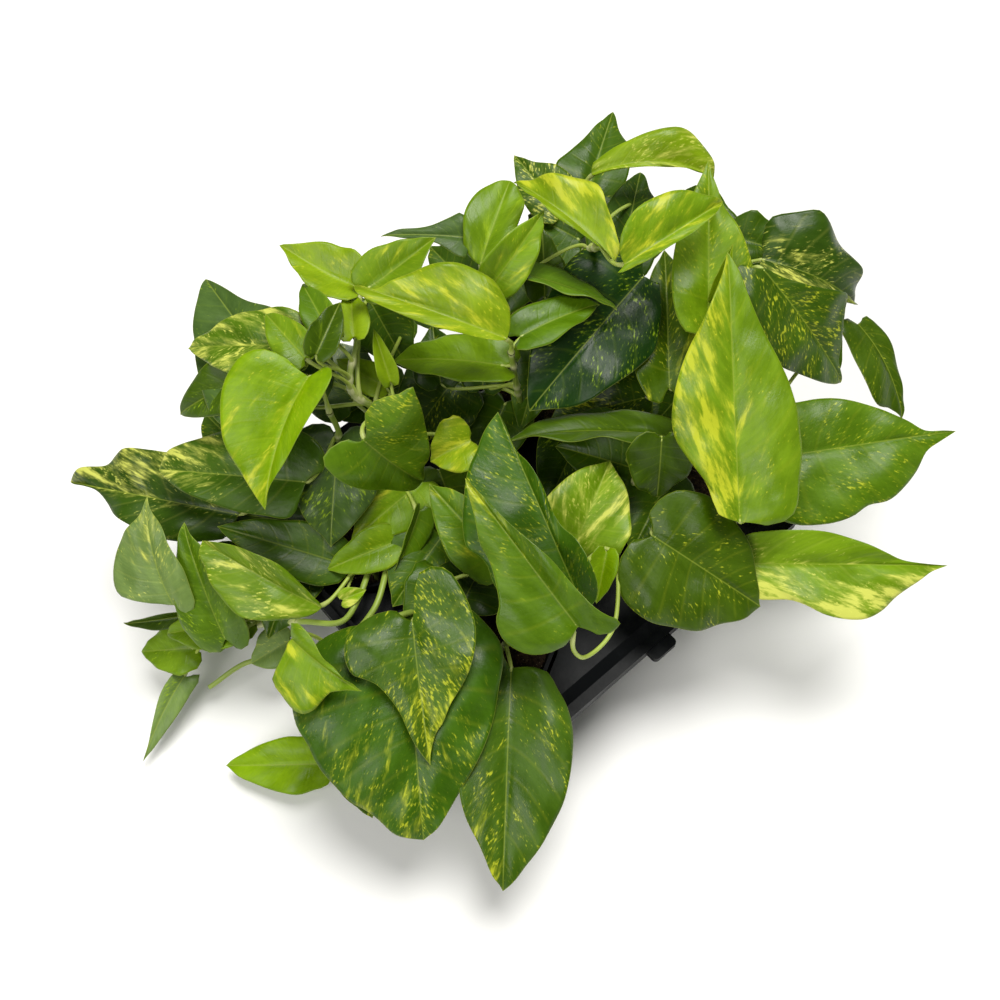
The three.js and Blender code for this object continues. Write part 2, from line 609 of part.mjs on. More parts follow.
      leaf('centre_shade', 0.6, [27, 60, 124], [-17, 46, 116], 44, [1, -1, 4], 4, 8),
    ],
  },
};

// ---------------------------------------------------------------- the whole plant

const plant = new THREE.Group();
plant.add(namedMesh('tray', trayBody(), BLACK_TRAY));
for (const [name, [x, y]] of Object.entries(POT_CENTRES)) {
  const stems = Object.values(VINES).filter((vine) => vine.pot === name);
  plant.add(namedMesh(name, potBody(x, y), BLACK_POT));
  plant.add(namedMesh(name.replace('pot', 'soil'), soilBody(x, y, stems), SOIL_BROWN));
}
Object.entries(VINES).forEach(([name, vine], i) => {
  plant.add(namedMesh(`vine_${name}`, vineBody(vine), LEAF_GREENS[i % LEAF_GREENS.length]));
});

export default plant;
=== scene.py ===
"""A golden pothos in four round nursery pots that stand in one carry tray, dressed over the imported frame."""
import math
import random
from collections import namedtuple

import bpy
import numpy as np
from mathutils import Matrix, Vector


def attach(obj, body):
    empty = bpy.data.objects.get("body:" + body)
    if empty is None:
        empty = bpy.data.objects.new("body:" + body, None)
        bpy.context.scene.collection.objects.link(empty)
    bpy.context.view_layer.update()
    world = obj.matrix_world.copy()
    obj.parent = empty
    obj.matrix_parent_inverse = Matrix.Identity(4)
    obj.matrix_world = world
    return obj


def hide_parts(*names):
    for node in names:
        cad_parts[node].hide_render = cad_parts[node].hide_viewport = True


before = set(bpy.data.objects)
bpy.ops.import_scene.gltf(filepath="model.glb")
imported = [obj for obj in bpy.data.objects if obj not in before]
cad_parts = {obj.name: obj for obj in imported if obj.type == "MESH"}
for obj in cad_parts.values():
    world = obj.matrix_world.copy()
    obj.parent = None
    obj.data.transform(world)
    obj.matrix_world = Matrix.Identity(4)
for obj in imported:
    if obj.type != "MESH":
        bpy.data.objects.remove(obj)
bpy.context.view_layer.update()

MM = 0.001  # the tables and the meshes built here are in millimetres

# -------- measures of blades, stems and stalks

WIDEST = 0.28  # where along a blade it is widest
SIDE_VEINS = 8  # pairs of side veins in a blade
ROW_STEP, FEWEST_ROWS, MOST_ROWS = 2.4, 18, 50  # the mesh rows along a blade
COLUMN_STEP, FEWEST_COLUMNS, MOST_COLUMNS = 4.4, 7, 17  # the mesh columns across half a blade
FIRST_ROW = 0.004  # how far along the midrib the first row starts
ROW_POWER, COLUMN_POWER, RIM_POWER = 1.35, 0.85, 0.46  # how rows, columns and rim points crowd
RIM_POINTS = 400  # even points along one side of a rim
OUTWARD, SWEEP = 0.08, 0.45  # how far out a row's points are pushed, and how it curves to its rim
FULL_WIDTH = 60  # waves are at their full height in blades this wide
SWELLS, SWELL_LENGTH, SWELL_HEIGHT = 5, (24, 52), (0.35, 0.75)  # waves that cross a whole blade
CALM = 7  # the width beside the midrib in which these waves come up
MARGIN_TURNS, MARGIN_HEIGHT = (1.4, 3.2), (0.8, 2.4)  # waves along a margin
CHANCE_FOLD = (-3, 6)  # how much more a half folds up by chance, in degrees
BULGE, RIM_DROOP = 0.07, (0.02, 0.1)  # how far a half rises and its rim hangs, as shares of its width
TIP_FROM, TIP_DROOP = 0.82, 0.03  # where a blade starts to droop, and how far by its length
QUILT, GROOVE, KEEL = 0.16, 0.8, 1.3  # the rise between side veins, and the midrib above and below
MIDRIB_HALF = 1.5  # half the midrib's width
THICK, THINNER = 0.62, 0.22  # a blade's thickness at its midrib, and how much less it is at the rim
ABOVE = 0.3  # how much of the thickness lies above the blade's middle
STEM_RADIUS, STEM_TAPER, STEM_JOINT, JOINT_REACH = 2.1, 0.35, 0.75, 3.2
ROOT_Z, ROOT_RINGS = 52, 6  # where a stem starts inside its soil
STEM_STEP, FEWEST_RINGS, STALK_RINGS = 2, 24, 22  # the mesh rings along stems and stalks
STEM_SIDES, STALK_SIDES = 12, 9
STALK_RADIUS, SHEATH, KNEE, KNEE_AT = 1.35, 0.75, 0.35, 0.9  # the knee is the joint under the blade
NECK, NECK_FROM = 0.5, 0.96  # how much thinner a stalk ends, and from where
SWING = 12  # the most that a stalk swings out before it meets its blade
CM, STREAK = 10, 40  # the shaders count blades in centimetres, and stalks in streaks this long

# -------- leaves, as they grow

# Each vine: the points of its stem, and its leaves. A leaf has a name, the share of the stem where its stalk
# leaves it, the base and the tip of its blade, its width, the way its upper face looks, how far its midrib
# arches, and how far its halves fold up in degrees. Then its colours: its green, how many flecks and how many
# broad streaks it has, their colour, and which half has more of them, from -1 for the left to 1 for the right,
# seen with the tip ahead. What a row leaves out at its end is the commonest.
Leaf = namedtuple("Leaf", "name share base tip width face arch fold tone flecks patches cream lean",
                  defaults=("dark", 0.3, 0.1, "yellow", 0.0))
# The two commonest ways of an upper face.
TILTED, LEVEL = [1, -1, 3], [1, -1, 4]

VINES = {
    "front_right": ([[74, -84, 80], [77, -81, 96], [84, -74, 112], [88, -60, 124]], [
        ("front_long", 0.3, [91, -88, 97], [183, -176, 55], 72, [2, -2, 5], 17, 8, "dark", 0.4, 0.26, "yellow", 0.2),
        ("front_large", 0.6, [114, -56, 150], [14, -56, 195], 80, [2, -2, 5], 6, 12, "green", 0.32, 0.38),
        ("front_behind", 1, [92, -36, 136], [-16, -5, 182], 78, [2, -2, 5], 6, 10, "rich", 0.45, 0.2, "yellow", 0.2),
        ("shiny", 0.9, [62, -8, 118], [40, 42, 142], 62, LEVEL, 8, 12, "fresh", 0.4, 0.6, "cream"),
        ("folded_lime", 0.95, [83, -2, 132], [99, -24, 112], 20, TILTED, 2, 24, "lime", 0.3, 0.3),
    ]),
    "front_left": ([[40, -98, 80], [40, -99, 96], [37, -96, 110], [30, -84, 118]], [
        ("broad_dark", 0.3, [42, -129, 118], [132, -194, 70], 122, [1.2, -0.8, 3], 18, 6, "rich", 0.42, 0.36,
         "yellow", 0.2),
        ("speckled", 0.6, [41, -123, 136], [107, -166, 100], 76, TILTED, 8, 8, "dark", 0.66, 0.52, "yellow", -0.3),
        ("shade_front", 0.5, [42, -86, 108], [24, -52, 99], 50, LEVEL, 4, 6, "deep", 0.2, 0.0),
        ("half_hidden", 1, [41, -54, 120], [-22, -58, 146], 44, TILTED, 5, 14, "green", 0.3, 0.4),
        ("fill_e", 0.4, [18, -76, 99], [25, -121, 94], 44, LEVEL, 4, 8),
    ]),
    "front_hanging": ([[22, -104, 80], [21, -112, 98], [18, -132, 104], [18, -158, 92], [26, -186, 52],
                       [32, -202, 28]], [
        ("low_lime", 1, [37, -209, 22], [-9, -259, 12], 38, LEVEL, 6, 12, "lime", 0.3, 0.1, "lime"),
        ("low_hidden", 0.75, [44, -186, 40], [88, -206, 22], 36, TILTED, 8, 10),
    ]),
    "left_trailing": ([[-24, -108, 80], [-20, -114, 98], [-8, -132, 100], [-4, -148, 96], [-28, -168, 84],
                       [-58, -196, 66], [-76, -222, 46]], [
        ("pale_upright", 0.8, [-85, -224, 96], [-137, -198, 140], 46, [2, -3, 3], 4, 10, "sage", 0.45, 0.45, "cream"),
        ("narrow_edge", 0.72, [-53, -211, 76], [-110, -190, 132], 46, [1, -2, 3], 6, 14, "green", 0.5, 0.3, "lime"),
        ("needle", 0.93, [-94, -220, 60], [-120, -256, 55], 16, [1, -1, 1], 2, 40, "olive", 0.3, 0.1, "lime"),
        ("low_fold", 0.7, [-56, -192, 74], [-96, -238, 52], 36, TILTED, 6, 25, "fresh", 0.3, 0.2, "cream"),
        ("low_round", 1, [-78, -228, 44], [-106, -258, 34], 36, TILTED, 5, 12, "fresh", 0.3, 0.2, "lime"),
        ("low_long", 0.97, [-72, -245, 31], [-49, -300, 9], 30, [2, -1, 3], 5, 14, "sage", 0.3, 0.1, "lime"),
        ("fill_j", 0.8, [-90, -171, 72], [-102, -221, 62], 52, LEVEL, 5, 10),
        ("fill_o", 0.55, [-62, -141, 92], [-34, -190, 78], 46, LEVEL, 5, 10),
    ]),
    "left_creeping": ([[-22, -98, 80], [-14, -104, 98], [4, -128, 100], [6, -156, 88], [-6, -170, 62],
                       [-26, -182, 44], [-50, -206, 34], [-58, -236, 22]], [
        ("skirt_lobed", 0.45, [5, -185, 142], [54, -172, 128], 48, [1, -2, 3], 8, 12, "fresh", 0.3, 0.4, "yellow",
         0.4),
        ("skirt_small", 0.74, [-34, -177, 56], [-42, -206, 46], 30, LEVEL, 4, 12, "sage", 0.3, 0.3, "cream"),
    ]),
    "left_outer": ([[-78, -100, 80], [-84, -96, 100], [-92, -84, 130], [-82, -82, 160], [-79, -86, 190]], [
        ("lime_heart", 1, [-85, -90, 224], [-54, -154, 180], 72, [2, -2, 5], 8, 10, "lime", 0.4, 0.45, "yellow", 0.3),
        ("under_lime", 0.7, [-87, -80, 147], [-43, -126, 113], 66, [2, -2, 5], 8, 8, "slate", 0.5, 0.2, "lime", 0.3),
        ("left_upper", 0.6, [-74, -116, 146], [-156, -181, 132], 54, TILTED, 8, 8, "dark", 0.42, 0.42, "cream", 0.4),
        ("leftmost", 0.4, [-106, -156, 108], [-218, -229, 92], 70, TILTED, 14, 14, "deep", 0.42, 0.5, "cream", 0.6),
        ("under_dark", 0.2, [-69, -120, 98], [-143, -174, 92], 50, LEVEL, 5, 8, "deep", 0.3, 0.1),
        ("fill_k", 0.25, [-130, -125, 112], [-184, -130, 118], 48, LEVEL, 5, 8),
    ]),
    "left_high": ([[-84, -70, 80], [-77, -56, 120], [-76, -54, 160], [-84, -66, 192], [-98, -46, 212],
                   [-116, -30, 222]], [
        ("dark_wing", 0.5, [-108, -94, 178], [-224, -83, 188], 80, LEVEL, 8, 8, "slate", 0.4, 0.15, "lime"),
        ("cream_streak", 0.62, [-114, -78, 215], [-175, -126, 195], 46, TILTED, 5, 14, "green", 0.5, 0.6, "cream",
         0.2),
        ("curled_tip", 0.45, [-126, -100, 198], [-160, -152, 162], 38, TILTED, 12, 14, "olive", 0.3, 0.2, "lime"),
        ("bud_a", 0.66, [-97, -84, 224], [-136, -84, 230], 26, TILTED, 4, 16, "fresh", 0.3, 0.3),
        ("bud_b", 0.7, [-89, -80, 232], [-107, -48, 238], 22, [2, -1, 3], 4, 25, "olive", 0.3, 0.3, "lime"),
        ("bud_c", 0.76, [-100, -62, 222], [-144, -52, 226], 24, TILTED, 4, 25, "green", 0.3, 0.3, "lime"),
        ("bud_d", 0.9, [-92, -52, 222], [-121, -32, 220], 24, TILTED, 4, 20, "bright", 0.3, 0.2, "lime"),
        ("twin_left", 0.96, [-122, -27, 222], [-170, -48, 236], 40, [1, 0, 3], -6, 24, "bright", 0.4, 0.45),
        ("twin_right", 1, [-112, -26, 228], [-103, 22, 246], 38, [1, 0, 3], -4, 20, "fresh", 0.4, 0.4),
        ("back_left_low", 0.35, [-112, -52, 136], [-188, -34, 98], 58, [-1, -1, 3], 12, 10, "dark", 0.4, 0.2),
        ("fill_h", 0.6, [-138, -11, 184], [-100, -12, 146], 44, TILTED, 5, 10),
        ("fill_i", 0.5, [-127, 8, 160], [-135, -33, 150], 36, TILTED, 4, 14),
        ("fill_l", 0.25, [-105, -16, 128], [-117, -64, 118], 44, LEVEL, 4, 8),
    ]),
    "left_inner": ([[-44, -78, 80], [-62, -60, 104], [-69, -48, 140], [-62, -50, 170]], [
        ("mid_heart", 0.75, [-46, -84, 194], [-31, -55, 132], 78, [2, -2, 3], 10, 8, "green", 0.38, 0.08, "yellow",
         -0.8),
        ("hooked", 0.4, [-39, -52, 120], [-42, -112, 104], 46, TILTED, 8, 12, "fresh", 0.3, 0.4, "yellow", 0.4),
        ("star_tip", 0.2, [-21, -91, 109], [-37, -136, 103], 32, TILTED, 4, 20, "fresh", 0.3, 0.2),
        ("edge_on", 0.3, [-22, -68, 122], [-6, -106, 100], 26, [1, 1, 1], 3, 30, "green", 0.3, 0.2),
        ("glossy_streaked", 0.1, [-16, -154, 105], [-93, -188, 130], 62, [1, -2, 4], 12, 10, "fresh", 0.45, 0.52,
         "cream"),
        ("under_glossy", 0.05, [-38, -127, 102], [-104, -173, 116], 40, LEVEL, 4, 10, "dark", 0.3, 0.2),
        ("little_yellow", 0.6, [-27, -19, 150], [-36, -46, 142], 40, TILTED, 3, 14, "bright", 0.3, 0.7),
        ("sheath_a", 0.9, [-81, -43, 174], [-119, -54, 176], 22, TILTED, 2, 20, "bright", 0.3, 0.2, "lime"),
        ("sheath_b", 1, [-72, -44, 190], [-95, -36, 214], 16, [2, -1, 1], 2, 35, "bright", 0.3, 0.2, "lime"),
        ("curved_olive", 0.25, [-42, -36, 114], [20, -58, 100], 44, TILTED, 6, 14, "olive", 0.2, 0.0),
        ("fill_d", 0.15, [-8, -57, 104], [9, -118, 96], 58, LEVEL, 5, 8),
        ("new_yellow", 0.1, [-14, -140, 100], [-8, -125, 104], 14, TILTED, 2, 24, "lime", 0.3, 0.7, "cream"),
    ]),
    "back_inner": ([[-52, 50, 80], [-48, 44, 104], [-40, 32, 150], [-36, 24, 196]], [
        ("streaked_long", 1, [-32, 18, 218], [-112, -35, 239], 56, TILTED, 10, 8, "bright", 0.4, 0.6),
        ("side_small", 1, [-38, 33, 202], [-26, 91, 199], 32, [0, -1, 3], 6, 14, "green", 0.3, 0.2, "lime"),
        ("curled_rim", 0.85, [-40, 22, 180], [-104, -23, 162], 42, [0, 0, 1], 8, 18, "fresh", 0.3, 0.2, "lime"),
        ("shade_a", 0.5, [-77, -3, 146], [-110, 18, 160], 36, TILTED, 4, 10, "deep", 0.2, 0.0),
        ("shade_b", 0.6, [-59, 18, 140], [-83, 46, 154], 32, TILTED, 4, 10, "deep", 0.2, 0.0),
        ("deep_left", 0.3, [-86, 14, 124], [-75, -36, 110], 62, LEVEL, 6, 8, "deep", 0.5, 0.0),
        ("fill_a", 0.25, [-55, 35, 112], [-24, -20, 100], 48, LEVEL, 5, 8),
    ]),
    "back_left": ([[-84, 72, 80], [-88, 68, 110], [-92, 58, 150], [-90, 50, 190]], [
        ("grey_point", 0.85, [-113, 57, 213], [-153, 14, 214], 44, LEVEL, 6, 12, "slate", 0.3, 0.1, "lime"),
        ("striped_round", 0.93, [-96, 50, 206], [-122, 99, 230], 46, TILTED, 6, 12, "fresh", 0.3, 0.5, "lime"),
        ("spine_tip", 1, [-73, 40, 214], [-77, 88, 244], 32, [2, -1, 2], 4, 30, "fresh", 0.3, 0.4),
        ("back_low_a", 0.5, [-112, 58, 146], [-192, 34, 100], 58, [-1, -1, 3], 12, 10, "dark", 0.4, 0.2),
        ("back_low_b", 0.4, [-106, 92, 138], [-182, 132, 92], 60, [-1, 1, 3], 12, 10, "green", 0.4, 0.3),
        ("fill_s", 0.8, [-113, 99, 172], [-85, 39, 160], 54, LEVEL, 5, 8),
        ("fill_x", 0.7, [-111, 54, 165], [-159, 56, 170], 38, TILTED, 4, 8),
    ]),
    "back_right": ([[-36, 96, 80], [-54, 102, 112], [-72, 112, 150], [-70, 116, 190], [-44, 110, 222]], [
        ("cream_edge", 1, [-24, 98, 234], [-107, 88, 247], 50, [2, -1, 4], 10, 14, "bright", 0.3, 0.42, "yellow",
         0.9),
        ("streaked_fan", 0.9, [-15, 96, 240], [-4, 169, 252], 48, [1, -1, 2], 6, 16, "fresh", 0.4, 0.58),
        ("blue_dark", 0.85, [-28, 133, 192], [-12, 18, 164], 82, [2, -2, 5], 12, 6, "bluish", 0.5, 0.0, "lime"),
        ("thin_bar", 0.8, [-71, 65, 208], [-12, 92, 206], 30, [-1, 1, 3], 4, 10, "green", 0.3, 0.2, "lime"),
        ("olive_back", 0.6, [-62, 76, 186], [-92, 100, 210], 30, [2, -1, 3], 3, 10, "olive", 0.2, 0.0, "lime"),
        ("dark_gap", 0.6, [-50, 133, 182], [-97, 198, 194], 46, TILTED, 6, 10, "deep", 0.2, 0.0),
        ("fill_b", 0.3, [-65, 81, 128], [-30, 26, 112], 40, LEVEL, 5, 8),
        ("fill_r", 0.9, [-86, 188, 180], [-54, 120, 165], 62, LEVEL, 5, 8),
    ]),
    "back_far": ([[-72, 120, 80], [-76, 124, 110], [-90, 130, 150], [-98, 136, 184]], [
        ("top_cream", 1, [-102, 153, 215], [-48, 218, 210], 52, [1, -2, 3], 16, 10, "bright", 0.5, 0.5, "cream"),
        ("top_dark", 0.9, [-112, 162, 188], [-149, 221, 200], 56, TILTED, 4, 8),
        ("top_speckled", 0.85, [-109, 131, 190], [-163, 138, 200], 44, TILTED, 4, 10, "dark", 0.64, 0.2, "cream"),
        ("back_low_c", 0.5, [-92, 152, 148], [-120, 226, 102], 58, [-1, 1, 3], 12, 10, "dark", 0.4, 0.2),
        ("fill_y", 0.85, [-89, 134, 176], [-127, 119, 182], 50, TILTED, 4, 8),
    ]),
    "right_front": ([[88, 74, 80], [92, 82, 98], [106, 88, 114], [119, 84, 130], [128, 74, 146]], [
        ("tall_lime", 1, [130, 63, 155], [19, 151, 240], 84, [2, -2, 5], -4, 6, "fresh", 0.35, 0.46, "yellow", -0.8),
        ("right_pale", 0.7, [136, 58, 116], [228, 171, 102], 66, TILTED, 8, 12, "fresh", 0.4, 0.42, "cream", 0.8),
        ("round_olive", 0.3, [96, 24, 140], [168, 55, 106], 80, [2, -2, 5], 6, 6, "olive", 0.36, 0.1),
    ]),
    "right_side": ([[84, 112, 80], [86, 114, 104], [90, 126, 126], [80, 150, 146], [50, 166, 168], [20, 174, 184],
                    [8, 180, 188]], [
        ("right_green", 0.3, [106, 122, 138], [174, 226, 144], 84, TILTED, 8, 6, "green", 0.45, 0.12),
        ("far_dark", 0.4, [76, 241, 150], [137, 234, 108], 46, [2, 0, 2], 6, 10, "olive", 0.3, 0.1),
        ("speckled_dark", 0.85, [34, 169, 224], [101, 199, 144], 72, [2, -1, 3], 12, 8, "dark", 0.58, 0.18),
        ("bent_dark", 1, [17, 194, 200], [68, 247, 158], 70, TILTED, 24, 8, "deep", 0.52, 0.46, "cream", 0.7),
        ("fill_p", 1, [-15, 206, 186], [16, 231, 176], 40, TILTED, 5, 10),
        ("fill_q", 0.55, [53, 207, 150], [93, 208, 128], 44, TILTED, 5, 10),
    ]),
    "right_back": ([[34, 104, 80], [40, 116, 106], [46, 132, 150], [38, 140, 184], [30, 138, 192]], [
        ("behind_tall", 1, [27, 134, 198], [-38, 192, 248], 54, [2, -2, 4], 4, 12, "fresh", 0.45, 0.25, "yellow",
         0.3),
        ("yellow_foot", 0.7, [33, 100, 160], [-36, 160, 192], 47, [2, -2, 4], 4, 10, "olive", 0.4, 0.4),
        ("new_leaf", 1, [22, 142, 206], [14, 162, 234], 12, [1, -1, 1], 2, 40, "bright", 0.3, 0.2, "lime"),
        ("back_low_d", 0.6, [14, 152, 150], [-12, 226, 104], 56, [-1, 1, 3], 12, 10, "green", 0.4, 0.3),
        ("deep_centre", 0.22, [10, 107, 119], [-24, 47, 107], 70, LEVEL, 6, 8, "deep", 0.5, 0.0),
        ("fill_g", 0.5, [27, 140, 136], [31, 92, 120], 44, LEVEL, 4, 8),
        ("fill_t", 0.9, [-58, 202, 186], [2, 206, 170], 44, TILTED, 5, 10),
    ]),
    "right_inner": ([[50, 56, 80], [52, 52, 104], [58, 50, 136], [64, 56, 160]], [
        ("small_heart", 1, [63, 60, 176], [76, 50, 130], 44, [2, -2, 2], 5, 8, "olive", 0.2, 0.0, "lime"),
        ("folded_bar", 0.8, [54, 76, 152], [-12, -3, 152], 44, [-3, 3, 8], 10, 12, "olive", 0.2, 0.0, "lime"),
        ("centre_shade", 0.6, [27, 60, 124], [-17, 46, 116], 44, LEVEL, 4, 8, "deep", 0.2, 0.0),
        ("fill_c", 0.35, [51, 61, 122], [3, 28, 130], 46, LEVEL, 4, 8),
        ("fill_f", 0.45, [66, 73, 118], [86, 19, 104], 44, LEVEL, 5, 8),
        ("fill_u", 0.2, [1, 52, 112], [23, 4, 104], 50, LEVEL, 4, 8, "deep", 0.5, 0.1, "lime"),
    ]),
}

# A stalk that loops before it reaches its blade, through these points.
LOOPS = {"front_large": [[80, 1, 128], [92, -2, 128], [108, -15, 122], [120, -31, 118], [123, -47, 118],
                         [122, -58, 122], [118, -62, 132], [115, -61, 142]]}
# A stalk that bends over a point of its own.
BENT_OVER = {"glossy_streaked": [-34, -96, 116]}

# The greens and the creams, from well lit leaves.
TONES = {
    # The deep green is darker than the others: partly the leaves' own darker green, and partly painted shade for the
    # leaves that lie in shade.
    "deep": "2b4604", "dark": "385606", "bluish": "143106", "rich": "365a03", "slate": "405a26", "green": "4b6c07",
    "olive": "385200", "fresh": "62830b", "bright": "728f09", "lime": "6f9300", "sage": "647e40",
}
CREAMS = {"yellow": "b8bf2c", "cream": "d2d662", "lime": "8fab1c"}
MIDRIB_PALE, MARGIN_PALE, UNDER_PALE = "94a23a", "94a23c", "748640"
STEM_GREEN, JOINT_PALE, STALK_GREEN, KNEE_PALE = "93a843", "d6d6a0", "a9bb4c", "cdd28a"

# How far the streaks gather at the tip, or below 0 at the base.
TIPWARD = {
    "left_upper": 0.9, "leftmost": 0.5, "speckled": 0.9, "front_large": 0.7, "pale_upright": 0.9, "lime_heart": 0.4,
    "broad_dark": 0.4, "tall_lime": -0.3, "right_pale": -0.3, "top_cream": 0.4, "skirt_lobed": -0.4,
    "front_long": 0.3,
}

